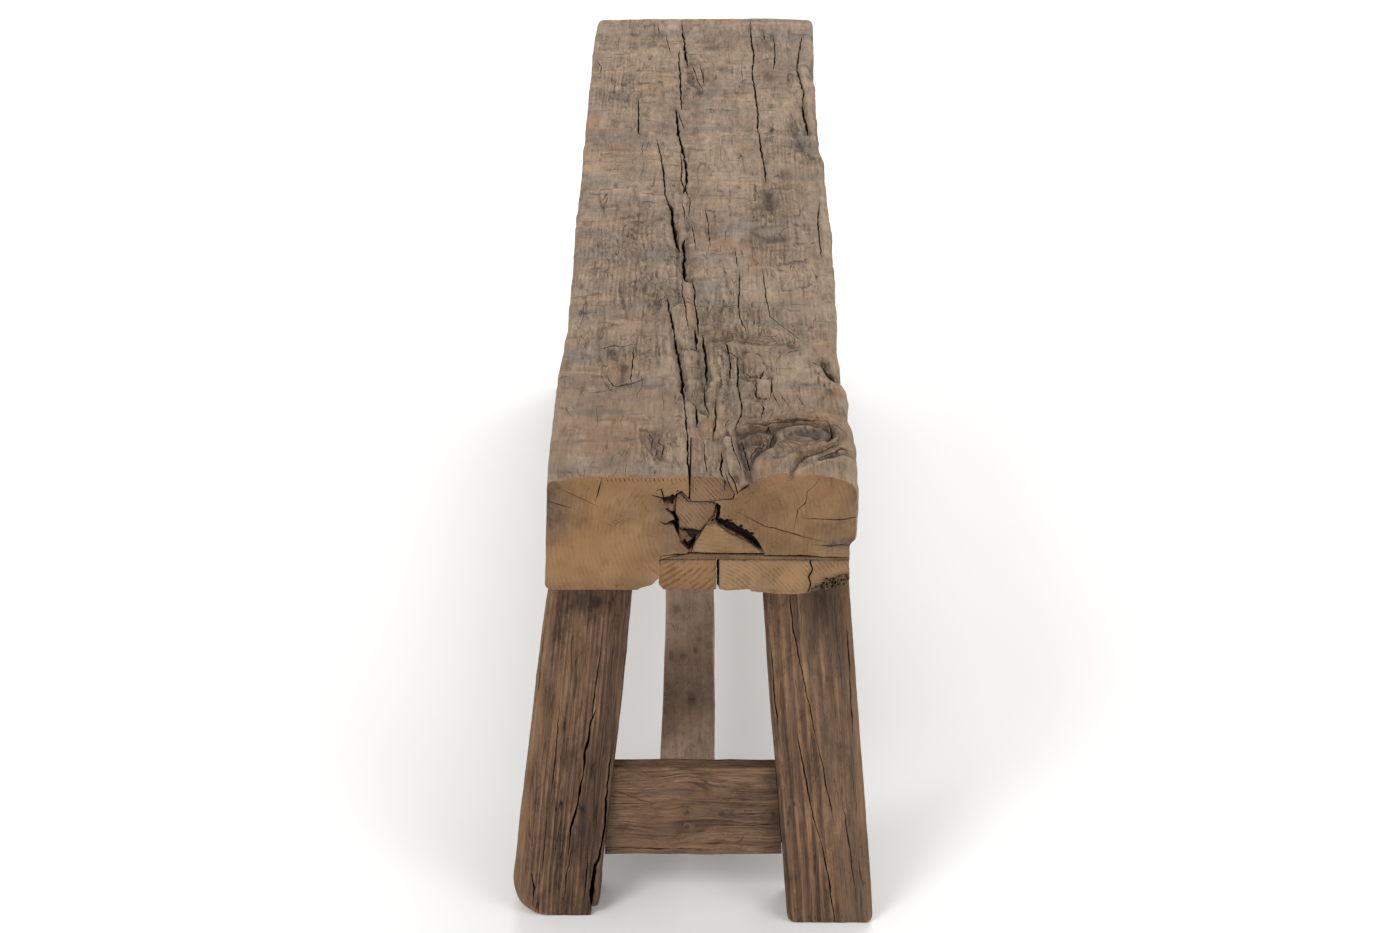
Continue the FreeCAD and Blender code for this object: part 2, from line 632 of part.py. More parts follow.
END_CUT = f"({HALF} + sizes.overrun)"
core_pocket = prism("core_pocket", END_CUT, core_corners(CORE_SHARES), "sizes.core_depth + sizes.overrun")
filler_block = prism("filler_block", HALF, core_corners(FILLER_SHARES), "sizes.core_depth")
wedge_block = prism("wedge_block", HALF, core_corners(WEDGE_SHARES), "sizes.core_depth")
inlay_trench = prism("inlay_trench", END_CUT, inlay_corners("sizes.joint_gap"),
                     "sizes.inlay_length + sizes.overrun")
inlay_block = prism("inlay_block", END_CUT, inlay_corners("0"),
                    "sizes.inlay_length + sizes.overrun - sizes.joint_gap")

inlay = doc.addObject("Part::Common", "inlay")
inlay.Base = hewn_beam
inlay.Tool = inlay_block

# Sub-parts by their names
sub_parts = {
    "seat_beam": cut("beam", hewn_beam, [
        rebate, core_pocket, inlay_trench, *mortises.values(), *crack_tools, *patch_holes]),
    "packing_strip": cut("strip", strip_board, [mortises["near_right"], *patch_holes]),
    "underside_patch_left": cut("left_patch", left_board, patch_holes),
    "underside_patch_right": cut("right_patch", right_board, [mortises["near_right"], *patch_holes]),
    "top_inlay": inlay,
    "core_filler": filler_block,
    "core_wedge": wedge_block,
    "long_stretcher": cut("long", long_board, stretcher_holes),
    "leg_tenon_wedges": group("tenon_wedges", wedges),
    "stretcher_screws": group("long_screws", stretcher_screws),
    "stretcher_plugs": group("plugs", stretcher_plugs),
    "patch_screws": group("short_screws", patch_screws),
}
for leg, (end, side) in LEGS.items():
    sub_parts[f"{leg}_leg"] = cut(f"{leg}_post", timbers[leg], [kerfs[leg], end_mortises[end]])
for end, end_name in ENDS.items():
    sub_parts[f"{end_name}_end_stretcher"] = cut(f"{end_name}_rail", boards[end], stretcher_holes)
for node, feature in sub_parts.items():
    feature.Label = node

doc.recompute()

for feature in doc.Objects:
    if "Invalid" in feature.State or "Error" in feature.State:
        raise RuntimeError(f"{feature.Name} failed")
for node, feature in sub_parts.items():
    if feature.Shape.isNull() or not feature.Shape.isValid():
        raise RuntimeError(f"{node} has no valid shape")
    box = feature.Shape.BoundBox
    print(f"{node}: {len(feature.Shape.Solids)} solids, {feature.Shape.Volume / 1000:.1f} cm3, "
          f"X {box.XMin:.1f} to {box.XMax:.1f}, Y {box.YMin:.1f} to {box.YMax:.1f}, "
          f"Z {box.ZMin:.1f} to {box.ZMax:.1f}")

os.makedirs("parts", exist_ok=True)
for node, feature in sub_parts.items():
    feature.Shape.exportStep(f"parts/{node}.step")
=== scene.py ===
"""The looks of an old beam bench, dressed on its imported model."""

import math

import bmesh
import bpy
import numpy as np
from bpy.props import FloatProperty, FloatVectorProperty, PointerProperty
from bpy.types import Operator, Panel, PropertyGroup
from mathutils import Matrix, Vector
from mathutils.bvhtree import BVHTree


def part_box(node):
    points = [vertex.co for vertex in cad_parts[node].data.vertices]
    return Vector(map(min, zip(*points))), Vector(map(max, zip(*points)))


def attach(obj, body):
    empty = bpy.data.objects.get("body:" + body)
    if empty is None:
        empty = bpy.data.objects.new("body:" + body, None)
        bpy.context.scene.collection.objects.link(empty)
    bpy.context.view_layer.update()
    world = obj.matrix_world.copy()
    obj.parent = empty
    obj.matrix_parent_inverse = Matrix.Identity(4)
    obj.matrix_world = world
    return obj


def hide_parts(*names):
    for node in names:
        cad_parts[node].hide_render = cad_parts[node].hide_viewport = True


bl_info = {
    "name": "Old Beam Bench",
    "version": (1, 0, 0),
    "blender": (4, 5, 0),
    "location": "View3D > Sidebar > Bench",
    "description": "Dresses the packed bench: hewn beam, let-in repairs, legs, stretchers and fixings",
    "category": "Add Mesh",
}

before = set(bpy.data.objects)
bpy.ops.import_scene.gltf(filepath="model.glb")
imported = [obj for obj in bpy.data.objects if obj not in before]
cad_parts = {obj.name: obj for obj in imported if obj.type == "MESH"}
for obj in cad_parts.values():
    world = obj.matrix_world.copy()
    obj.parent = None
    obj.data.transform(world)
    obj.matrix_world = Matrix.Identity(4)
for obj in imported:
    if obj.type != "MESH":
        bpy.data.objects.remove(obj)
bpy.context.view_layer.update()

# Shapes are worked out in millimetres and become metres when a mesh is made.
MM = 0.001

# The camera, in metres and degrees. It stands beyond the near end and looks down along the bench.
CAMERA_PLACE = (4.160616, 0.017658, 1.774272)
CAMERA_DIP = 21.0
CAMERA_TURN = 0.1823
CAMERA_LENS = 98.24
SENSOR_WIDTH = 36.0
PHOTO_WIDTH = 1400.0
PHOTO_HEIGHT = 933.0


def node_box(node):
    """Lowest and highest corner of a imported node, in millimetres."""
    return tuple(np.array(corner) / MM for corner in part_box(node))


def read_all(sequence, field, width, kind=np.float32):
    """One field of every point, edge or face of a mesh, a row for each."""
    values = np.zeros(len(sequence) * width, kind)
    sequence.foreach_get(field, values)
    return values.reshape(-1, width)


def mesh_points(mesh):
    """A mesh's points in millimetres."""
    return read_all(mesh.vertices, "co", 3).astype(float) / MM


def node_points(node):
    """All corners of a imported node's mesh, in millimetres."""
    return mesh_points(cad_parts[node].data)


BEAM_LOW, BEAM_HIGH = node_box("seat_beam")
STRIP_LOW = node_box("packing_strip")[0]
LEFT_PATCH_HIGH = node_box("underside_patch_left")[1]
RIGHT_PATCH_LOW = node_box("underside_patch_right")[0]
INLAY_LOW = node_box("top_inlay")[0]
FILLER_LOW = node_box("core_filler")[0]
LONG_LOW, LONG_HIGH = node_box("long_stretcher")
NEAR_END = BEAM_HIGH[0]
FAR_END = BEAM_LOW[0]
UNDERSIDE = BEAM_LOW[2]
SEAT_TOP = 490.0
ENDS = ("near", "far")
LEGS = ("near_left", "near_right", "far_left", "far_right")


def pairs(*numbers):
    """Numbers taken two by two."""
    return tuple(zip(numbers[::2], numbers[1::2]))


def rows_with_ways(before, *rows):
    """Rows whose numbers after the first few are a way or an outline, point by point."""
    return [(*row[:before], pairs(*row[before:])) for row in rows]


# Places read from the photograph, in its pixels, on the seat's top unless said otherwise.
LEFT_EDGE = pairs(
    599.5, 19, 595, 37, 593, 64, 589, 90, 587, 121, 584, 149, 581, 187, 577, 215, 574, 250, 572, 280,
    568, 305, 568.5, 317, 565, 335, 561, 360, 556, 390, 552, 420, 549, 445, 547.5, 478,
)
RIGHT_EDGE = pairs(
    812, 19, 813, 51, 808, 67, 815, 81, 818, 124, 819, 146, 824.5, 158, 823.5, 171, 826, 187, 829, 215,
    832, 245, 834, 275, 835.5, 305, 837, 330, 836, 345, 840, 362, 838, 376, 847, 388, 849, 400, 845, 410,
    852, 422, 857, 437, 858, 460, 858.5, 480,
)

# Splits in the seat's top: width and depth in millimetres, then the way each one runs.
SEAT_SPLITS = rows_with_ways(
    2,
    (3.6, 34, 682.5, 26, 684.5, 45.5, 687.5, 66),
    (1.6, 3, 681.5, 20, 682.5, 29),
    (2.4, 26, 679, 50, 679, 63.5, 680, 72.5, 680.5, 90.5, 682, 110),
    (3.2, 30, 676, 109, 678, 131.5, 682.5, 149, 686, 165.5, 687, 181.5, 683, 193),
    (1.6, 12, 678, 112, 682.5, 124.5, 685, 131),
    (1.3, 10, 680.5, 152, 682, 170.5, 681.5, 184),
    (1.8, 18, 663.5, 166, 665, 189, 665, 194, 671, 206),
    (4.4, 34, 668, 200, 671, 206, 673, 221.5, 675.5, 237, 678.5, 251),
    (1.8, 14, 682, 162, 681, 179.5, 684.5, 187, 690, 198.5, 689, 216),
    (1.6, 10, 682, 200, 684.5, 214, 684.5, 223),
    (1.5, 10, 691.5, 222, 694, 235, 696, 252),
    (4.6, 34, 684.5, 238, 684, 256, 683, 265.5, 684.5, 277, 687.5, 281),
    (1.6, 14, 682.5, 279, 682, 292.5, 684.5, 304, 687, 321, 688.5, 331),
    (2.2, 18, 692, 280, 695, 292.5, 694, 300, 697, 313.5, 698, 331),
    (1.2, 6, 681.5, 296, 687, 298, 694.5, 302),
    (4.2, 32, 696, 328, 695.5, 336, 695.5, 346),
    (2.6, 24, 667, 297, 670, 315, 674, 329, 674.5, 338, 677.5, 352),
    (3.4, 30, 675.5, 343, 677.5, 352, 680.5, 367, 683, 379, 681.5, 389, 685, 399),
    (1.9, 28, 683.5, 394, 686, 418, 688, 444, 688, 461, 690, 477, 690.5, 492),
    (2.8, 20, 702, 332, 705, 350, 706, 360.5, 707.5, 383),
    (1.9, 12, 704, 383, 705, 401.5, 709, 413),
    (3, 14, 696, 403, 697, 413, 696.5, 426),
    (2.2, 14, 715.5, 402, 716, 418, 713, 440),
    (1.4, 8, 725, 430, 729, 420),
    (2, 14, 737, 357, 738, 369, 737.5, 383, 742, 405.5, 741, 415.5, 735, 432),
    (2, 10, 724, 339, 727.5, 347.5, 729.5, 354.5, 730.5, 366.5, 729.5, 377, 726, 381),
    (1.5, 8, 711, 351, 719, 347.5, 728.5, 350.5, 737, 356.5, 738, 372),
    (1.9, 9, 745, 371, 751, 377, 759.5, 377.5, 764.5, 371, 767, 376),
    (1.9, 9, 756, 379, 756, 395.5, 761.5, 398.5, 769.5, 397.5, 772, 389, 771, 378),
    (2.4, 10, 757.5, 399.5, 763.5, 407.5, 761, 416),
    (1.3, 3, 750, 20, 750, 28),
    (2.4, 22, 750, 26, 751.5, 42, 754, 54.5, 752, 72.5, 755, 90.5, 757.5, 110, 758, 128, 761, 149.5,
     764.5, 167, 766, 182),
    (1.7, 10, 740, 271, 739, 292.5, 738, 304, 740, 315.5, 742.5, 323, 747, 333),
    (1.5, 8, 762.5, 268, 765.5, 292.5, 767.5, 304, 770.5, 315.5, 785.5, 327, 804, 343),
    (1.6, 10, 734.5, 249, 736, 257, 737.5, 266),
    (2, 14, 773.5, 34, 774.5, 45.5, 775, 56.5, 773.5, 69),
    (1.6, 9, 763, 31, 766.5, 44),
    (2.4, 16, 802, 36, 798.5, 54.5, 797, 69, 800.5, 81.5, 804, 90.5, 802, 106.5),
    (3.4, 20, 802, 104, 804, 117, 808, 135),
    (1.6, 10, 657.5, 24, 659.5, 35),
    (1.4, 8, 666, 34, 671, 56),
    (1.8, 10, 700, 64, 703, 76, 704, 85),
    (1.6, 10, 692.5, 63, 695, 72.5, 698.5, 81.5, 703.5, 91.5),
    (2.2, 14, 638, 99, 639, 117, 638, 131.5, 640, 136),
    (1.8, 12, 657, 140, 661, 156.5, 663, 170.5, 664.5, 187),
    (1.5, 8, 642.5, 144, 642, 156),
    (1.6, 9, 705, 206, 708.5, 223.5, 710, 246),
    (1.9, 10, 820, 203, 817.5, 219.5, 821.5, 256),
    (1.5, 5, 643, 302.5, 652, 300, 657.5, 304, 666, 294.5),
    (1.2, 3.5, 632.5, 201.5, 645, 201, 658.5, 202.5),
    (1.3, 4, 629.5, 222, 636.5, 220.5, 649, 226),
    (1.4, 3.5, 673, 305, 684, 304.5, 696, 305, 703.5, 305.5),
    (1.5, 3.5, 717.5, 303.5, 727, 305, 737.5, 305),
    (1.3, 3.5, 784.5, 308.5, 792, 310.5, 800, 311),
    (1.9, 8, 607, 374, 611, 381, 614, 384.5, 622, 384, 630.5, 383, 637, 381, 643, 378.5),
    (1.5, 7, 634, 345.5, 633, 358.5, 631.5, 370, 630.5, 379, 631.5, 387),
    (1.3, 5, 592.6, 346.5, 604, 348, 612, 345, 624, 346, 636.8, 344.5, 642, 345),
    (1.2, 4, 588.4, 392, 600, 390.5, 609.5, 389.5, 620, 387),
    (4.4, 16, 823.5, 364, 827.5, 373, 835, 380),
    (1.4, 7, 808, 360, 817, 362.5, 825, 367),
    (2, 12, 822, 425.7, 826.4, 427.5, 831, 430.2, 832.2, 433.8, 831, 437.3, 827.3, 443),
    (1, 4, 760, 423, 775, 420, 790, 418.5, 810.5, 418.5, 830.5, 422.5, 846, 432, 853, 442),
    (1.5, 9, 763, 431, 768.4, 432, 773.8, 434.6, 774.6, 437.3, 769.3, 441, 764, 445.4, 757.7, 451.6,
     752.3, 458, 749.2, 463.2),
    (1.2, 7, 818, 458, 826, 457.5, 831, 456.5, 840, 453, 852.3, 451.2, 859, 447),
    (1.1, 5, 792.5, 470.4, 798, 461.4, 806, 456, 815.7, 452.5, 828.2, 449.8, 837, 447, 840.7, 442.7),
    (1.5, 8, 738, 431.5, 746, 431, 761, 429.3, 773, 428.4, 787, 425.7, 801.4, 424, 815, 423.5, 822, 425.7),
    (1.4, 9, 738, 437, 743.4, 447, 745.2, 456, 749.2, 466.8, 750.5, 476),
    (1.4, 5, 772, 390, 777.5, 401.5, 780, 408.5),
    (1.4, 5, 780, 392, 786, 401.5, 790.5, 408.5),
    (1.4, 5, 797.5, 394, 803, 403.5, 807, 407),
    (1.5, 6, 777.5, 359, 783.5, 351.5),
    (1.5, 6, 786, 354, 794, 350.5, 799, 344.5),
    (0.8, 6, 714, 336.5, 730, 337.5, 745, 341, 765, 344.5, 783, 343.5, 795, 339.5),
    (0.5, 4, 722, 329.5, 740, 331.5, 757, 335.5, 775, 336, 788, 330.5),
    (0.6, 5, 731, 345.5, 748, 349, 766, 351.5, 784, 349),
    (1.5, 5, 649, 431, 653, 437.5, 651.5, 445, 657, 449.5, 655, 458),
    (1.5, 5, 661, 434, 658.5, 441, 663.5, 447, 661.5, 456, 665, 461),
    (1.6, 8, 596.5, 60, 601.5, 67, 600, 74),
    (2.6, 12, 721.5, 450, 721, 471, 727.5, 482, 736, 492.5),
    (1.3, 5, 704, 440, 704.5, 456, 708, 474),
    (1.5, 5, 730.5, 437, 733.5, 452, 742, 473),
)

# Raised and sunk strokes on the seat's top: height and half width in millimetres, then the way.
SEAT_STROKES = rows_with_ways(
    2,
    (2.6, 7, 739, 427, 751.5, 425, 767.5, 422, 785.5, 418.5, 801.5, 416, 815.5, 415, 828, 418, 837, 423,
     845, 429, 850, 436.5, 857, 443.5),
    (-6, 3, 738, 431.5, 746, 431, 761, 429.3, 773, 428.4, 787, 425.7, 801.4, 424, 815, 423.5, 822, 425.7,
     827, 428),
    (2, 5, 786, 432, 800, 429, 813, 429, 820, 433),
    (-4.5, 4, 815, 430, 819, 434, 816, 438),
    (-4.5, 2.4, 827, 428, 831.5, 431, 832.2, 434, 831, 437.3, 827.3, 443),
    (2.8, 4, 831, 424, 837, 429.5, 841, 435, 839, 441, 831, 446),
    (-3.6, 2.6, 842, 438, 837, 447, 828.2, 449.8, 815.7, 452.5, 806, 456, 798, 461.4, 792.5, 470.4,
     791.6, 476),
    (1.6, 4.5, 824, 445, 810, 448, 796, 455, 786, 463, 780, 470),
    (-7, 8, 744, 438, 757, 439, 766, 441),
    (3.6, 3.6, 751, 435, 762, 433.5, 771, 435),
    (-5, 2.4, 763, 431, 768.4, 432, 773.8, 434.6, 774.6, 437.3, 769.3, 441, 764, 445.4, 757.7, 451.6,
     752.3, 458, 749.2, 463.2),
    (2.2, 3.6, 750, 449, 758, 444, 766, 439),
    (2.4, 5, 771, 452, 764, 459, 758, 466),
    (-5.5, 6, 741.5, 444, 745, 458, 748.5, 470.5, 753, 484),
    (-3.4, 2.4, 820, 459, 831, 456.5, 840, 453, 852.3, 451.2, 858, 447),
    (2.4, 5, 768, 466, 790, 459, 812, 451, 836, 448, 856, 446),
    (2, 4, 776, 478, 800, 472, 830, 462, 855, 457),
    (-2.6, 4.5, 714, 338, 735, 337, 760, 342, 785, 342, 797, 347),
    (1.4, 5, 716, 331, 740, 327, 765, 329, 788, 336, 803, 347),
    (1.3, 4, 735, 346, 760, 350, 784, 348),
    (-3.2, 5, 701, 341, 702, 360, 706, 385),
    (-4, 5, 676, 345, 680, 366, 683, 384),
    (-3.6, 4, 674, 222, 677, 240),
    (2.4, 4, 678, 222, 681, 240),
    (3.2, 4, 687, 287, 690, 306, 693, 324),
    (-2.4, 4, 771, 377, 757, 381, 745, 377),
    (-3.4, 7, 768, 196, 770, 208),
    (-2.2, 6, 753, 232, 768, 240, 784, 238),
    (-3, 5, 650, 434, 656, 446, 662, 457),
    (-2.6, 6, 612, 352, 624, 366, 620, 382),
    (-3, 4, 824, 362, 829, 373, 836, 381),
    (2.4, 5, 818, 378, 832, 386, 845, 392),
    (-2.6, 8, 795, 134, 800, 150, 812, 158),
    (-2.4, 5, 687, 66, 690, 80, 700, 92),
    (1.8, 4, 803, 70, 806, 90, 810, 112, 814, 132),
)
# A stroke is this many times longer along the grain than across it.
STROKE_STRETCH = 2.2

# Broken blocks of the surface: how far each stands up, in millimetres, and its outline.
SEAT_BLOCKS = rows_with_ways(
    1,
    (-2.4, 680, 345, 700, 345, 703, 382, 706.5, 409.5, 708.5, 417, 687.5, 399, 683, 380, 679, 359),
    (3, 711.5, 345.5, 725.5, 352.5, 728.5, 363, 726.5, 380, 712.5, 382, 708.5, 363),
    (2.4, 708.5, 382, 736, 378, 740, 397, 742, 411.5, 736, 430.5, 714.5, 439, 716, 409.5, 706.5, 392.5),
    (1.6, 742, 399, 759, 401, 764, 409.5, 757, 414.5, 743, 416),
    (2.2, 744, 352.5, 759, 354.5, 767.5, 373.5, 754.5, 378, 745.5, 373.5),
    (2.4, 757, 378, 769.5, 380, 771.5, 394.5, 761, 399, 757, 390.5),
    (-0.8, 593.5, 347.5, 631.5, 349.5, 630.5, 376, 613.5, 384, 601, 369.5, 592.5, 354.5),
    (2.4, 667.5, 312.5, 685.5, 300, 697, 327.5, 694.5, 345.5, 677, 343, 672.5, 323),
    (2.6, 723, 439, 736, 437, 747.5, 479, 729.5, 480),
    (-1.8, 639, 426.5, 658, 430.5, 668.5, 447.5, 664, 460, 649.5, 453.5, 641, 443),
    (-1.2, 638, 81.5, 663, 81.5, 666.5, 103, 641.5, 104.5),
    (-1.6, 702, 206, 716, 209, 718, 238, 706, 243),
    (1.6, 640, 262, 664, 258, 668, 286, 648, 294),
    (-1.4, 724, 272, 738, 270, 742, 300, 727, 303),
    (1.4, 600, 192, 632, 188, 640, 214, 606, 220),
    (-1.6, 776, 262, 806, 258, 812, 286, 782, 292),
    (1.6, 586, 296, 618, 292, 626, 322, 592, 330),
    (-1.4, 792, 214, 820, 212, 824, 240, 796, 244),
)

# Broad humps and dips: place in pixels, half length and half width in millimetres, height.
SEAT_HUMPS = (
    (800, 478, 70, 44, 4.6), (800, 434, 26, 30, 1.6), (640, 478, 60, 90, 2.2), (700, 482, 50, 30, 2.6),
    (845, 470, 60, 16, -4), (556, 478, 30, 18, -3), (768, 335, 60, 40, 1.4), (737, 481, 22, 7, -14),
    (705, 20, 80, 320, 8.6), (820, 150, 60, 16, -3.6), (640, 120, 110, 50, -1.6), (610, 250, 120, 40, 1.6),
    (790, 270, 140, 40, 1.4), (600, 360, 60, 34, -1.6),
)

# Rough places where the grain is torn: place in pixels, half length and half width in millimetres, share.
SEAT_ROUGH = (
    (725, 375, 120, 34, 1), (756, 332, 70, 50, 0.9), (790, 436, 80, 62, 1), (655, 445, 50, 22, 0.9),
    (680, 250, 260, 16, 0.9), (612, 262, 160, 34, 0.6), (655, 292, 90, 34, 0.8), (800, 145, 90, 26, 0.9),
    (620, 88, 90, 34, 0.7), (690, 84, 120, 16, 0.8), (636, 232, 60, 30, 0.8), (768, 205, 90, 24, 0.8),
    (716, 310, 80, 36, 0.8), (640, 350, 60, 40, 0.6), (830, 380, 60, 16, 0.8), (770, 250, 60, 40, 0.5),
)

# Stains on the seat's top: place in pixels, half length and half width in millimetres, then how much
# dark dirt, warm brown and cool grey it adds. What a row leaves out at its end is nothing.
SEAT_STAINS = (
    (711, 47, 14, 9, 1), (728, 61, 12, 5, 0.6, 0.5), (769, 77, 15, 4.6, 2), (771, 107, 10, 3.6, 1.8),
    (794, 127.5, 17, 5.6, 2.4), (800, 143, 30, 16, 0.45, 0, 1.1), (808, 152, 22, 16, 0.35, 0, 0.4),
    (645, 115, 13, 4.4, 1.8), (649, 90, 34, 12, 0, 0.4), (620, 149, 26, 14, 0.1, 0.6),
    (741, 147, 20, 9, 0.15, 0.5), (593, 121, 40, 9, 0.1, 0.5), (598, 66, 20, 6, 0.7, 0.2),
    (708, 92, 34, 14, 0.3, 0, 1.1), (690, 84, 50, 7, 0.65, 0, 0.2), (628, 160, 26, 13, 0.5, 0, 0.8),
    (644, 164, 12, 6, 0.6), (618, 98, 20, 20, 0.5, 0, 0.4), (628, 77, 22, 10, 0.5, 0, 0.3),
    (655, 74, 26, 8, 0.3, 0.1), (783, 74, 50, 12, 0.2, 0.1), (815, 60, 30, 8, 0.5, 0, 0.3),
    (730, 20, 24, 14, 0, 0.7), (768, 200, 30, 9, 0.75, 0, 0.4), (770, 209, 10, 16, 0.8, 0, 0.3),
    (756, 209, 6, 10, 0.5), (802, 196, 26, 5, 0.45), (774, 240, 12, 16, 0.7, 0, 0.3),
    (640, 222, 12, 14, 0.5, 0, 0.4), (634, 245, 34, 12, 0.3, 0.2, 0.1), (636, 255, 12, 6, 0.55, 0.2),
    (655, 285, 40, 16, 0.2, 0, 0.3), (652, 302, 12, 14, 0.5, 0, 0.3), (723, 245, 24, 22, 0, 0.8),
    (757, 262, 26, 16, 0.1, 0.5), (700, 212, 40, 18, 0, 0.3, 0.3), (690, 312, 36, 5, 0, 1),
    (703, 322, 30, 14, 0.45, 0.1), (731, 331, 18, 14, 0.75), (748, 337, 14, 26, 0.6, 0.3),
    (785, 348, 16, 18, 0.4, 0, 0.3), (775, 322, 26, 14, 0.1, 0, 0.7), (700, 372, 60, 7, 0.35),
    (712, 342, 22, 12, 0.5, 0, 0.1), (742, 366, 24, 10, 0.4, 0, 0.1), (756, 358, 30, 12, 0.25, 0.2, 0.1),
    (622, 366, 30, 18, 0, 0.45), (617, 385, 7, 26, 0.5), (631, 377, 12, 5, 0.5),
    (605, 345, 30, 18, 0.25, 0, 0.4), (599, 407, 3, 5, 0.8), (597, 412, 10, 28, 0.3, 0, 1.2),
    (580, 403, 10, 14, 0.2, 0, 0.8), (581, 467, 10, 26, 0.25, 0, 1.2), (612, 462, 12, 20, 0.1, 0, 0.6),
    (644, 420, 3, 3, 0.9), (626, 441, 7, 6, 0.75), (655, 445, 26, 9, 0.45, 0, 0.4),
    (665, 430, 16, 14, 0.2, 0.1, 0.3), (600, 440, 30, 40, 0, 0.4), (736, 400, 30, 16, 0.25, 0, 0.5),
    (741, 423, 12, 12, 0.3, 0, 0.8), (757, 439, 17, 15, 0.9, 0, 0.2), (800, 432, 12, 30, 0.45, 0, 0.5),
    (820, 437, 9, 14, 0.4, 0, 0.3), (748, 462, 22, 7, 0.75), (765, 456, 22, 9, 0.35, 0.1),
    (829, 376, 12, 6, 0.6, 0.1), (838, 392, 16, 12, 0.15, 0.8), (775, 395, 26, 40, 0.1, 0.5),
    (830, 350, 60, 16, 0, 0.4, 0.1), (800, 475, 20, 50, 0, 0.5, 0.2), (655, 480, 7, 60, 0, 0.8),
    (610, 430, 170, 70, 0.22, 0.3), (800, 440, 60, 50, 0.6, 0.1, 0.3), (816, 421, 26, 40, 0, 0.6),
    (770, 426, 10, 30, 0.1, 0.8), (848, 436, 30, 8, 0, 0.7), (790, 449, 20, 26, 0, 0.6),
    (800, 470, 24, 40, 0, 0.3), (758, 470, 16, 16, 0, 0.6), (826, 434, 10, 8, 0.9, 0, 0.2),
    (780, 426, 14, 24, 0.5, 0.1, 0.3), (812, 450, 16, 20, 0.4, 0.1, 0.1), (758, 452, 20, 9, 0.7, 0, 0.2),
    (727, 356, 40, 5, 0.6), (684, 372, 50, 6, 0.5, 0, 0.1), (744, 353, 10, 8, 0.6, 0.1),
    (742, 376, 30, 5, 0.5), (700, 408, 24, 12, 0.3, 0, 0.1), (712, 428, 26, 10, 0.1, 0.5, 0.1),
    (560, 395, 60, 9, 0.1, 0.2, 0.1), (630, 320, 50, 16, 0, 0.4, 0.2), (600, 285, 34, 12, 0.3, 0, 0.3),
    (790, 300, 50, 16, 0.25, 0.1, 0.2), (660, 250, 30, 6, 0.5, 0, 0.1),
)

# Knots that the grain runs round: place in pixels, half length and half width in millimetres.
SEAT_KNOTS = (
    (806, 434, 42, 40), (764, 342, 20, 20), (768, 203, 14, 10), (713, 48, 12, 8), (796, 130, 12, 7),
    (818, 155, 24, 14), (626, 441, 9, 7), (634, 250, 16, 9),
)

# Splits in the near end: width and depth in millimetres, then the way in pixels, seen on the end itself.
END_SPLITS = rows_with_ways(
    2,
    (1.4, 6, 603, 474, 599, 490, 595, 503),
    (1, 5, 824, 474, 819, 480, 808, 492, 806, 503, 798, 510, 793.5, 533),
    (1.6, 9, 800, 517.5, 820, 519, 840, 520, 862, 516),
    (1.1, 6, 735, 511, 764, 526, 792, 533, 811, 539, 826, 541.5),
    (1.3, 6, 811, 545, 830, 546, 856, 545),
    (3, 26, 651, 496, 664, 498, 675, 497.5, 682, 492.5, 690, 500),
    (1.6, 14, 655, 492, 661.5, 489, 663.5, 497, 660, 502),
    (1.6, 14, 667, 510, 672, 514, 676, 519.5, 679, 528, 684, 531, 693, 532.5, 701, 531.5),
    (1.3, 10, 666, 522.6, 671, 521.6, 674.5, 525, 677, 531),
    (1.2, 10, 681.5, 540.5, 687.4, 543.6, 692.6, 539.5, 697, 535),
    (2.6, 22, 664, 509, 675, 516, 679.5, 529),
    (3.6, 26, 669, 521, 676, 525, 680, 537),
    (2.6, 20, 672, 523.5, 664, 524, 660, 521.5),
    (1, 4, 547, 501, 560, 505, 572, 508),
    (2.6, 16, 659, 562, 661, 556.3, 674, 554.6, 691.6, 554, 719, 553.4, 750.5, 555.3, 792.6, 556,
     828.4, 557.4),
    (0.9, 3, 555, 487, 585, 500, 600, 508),
    (4, 30, 680, 541, 689, 549, 697, 536),
    (2.6, 26, 690.5, 474, 690, 486, 691, 499),
    (3, 28, 721, 471, 728, 480, 734, 487, 738, 495),
    (2, 16, 736, 494, 748, 486.5, 756, 480),
)

# The middle of the packing strip's rebate, and the trench for the inlay, on the near end in millimetres
REBATE_TOP = pairs(-24, 412, -1.6, 416.8, 31.8, 416.4, 66.7, 414.8, 110, 413.2)
TRENCH_OUTLINE = pairs(
    -1.6, 520, -3.3, 475.1, -4.2, 471.2, -0.2, 468.2, 11.6, 467.8, 23.2, 469.2, 38.4, 470.8, 39.7, 476.2,
    32.4, 489.4, 27.4, 497, 12, 520,
)

# A row of short saw marks along the top of the near end: first, last and step in pixels.
KERF_ROW = (606.0, 688.0, 4.3)

# Outlines on the near end as (across, up) in millimetres: the repairs and the hollow that holds them.
INLAY_OUTLINE = pairs(
    -1, 493, -2.7, 475.1, -3.6, 471.8, 0, 468.9, 11.6, 468.5, 23.2, 469.9, 37.6, 471.5, 38.9, 476.1,
    31.6, 489.2, 26.9, 494.6,
)
FILLER_OUTLINE = pairs(
    -15.4, 468, -13.6, 474.3, -10.8, 475.9, -7.8, 471.4, -3.9, 467.5, 11.6, 467.2, 19.3, 466.3, 21.7, 463.1,
    19.6, 455.2, 14.2, 447.8, 7.2, 439.3, -3.9, 441.3, -12, 443, -12.3, 450.1, -15.8, 456.9,
)
WEDGE_OUTLINE = pairs(
    12.6, 444, 22, 445.7, 34.4, 435.9, 50, 427.6, 65.4, 416.6, 34.9, 416.4, -0.8, 417.2, 4.3, 429.3,
    9, 437.4,
)
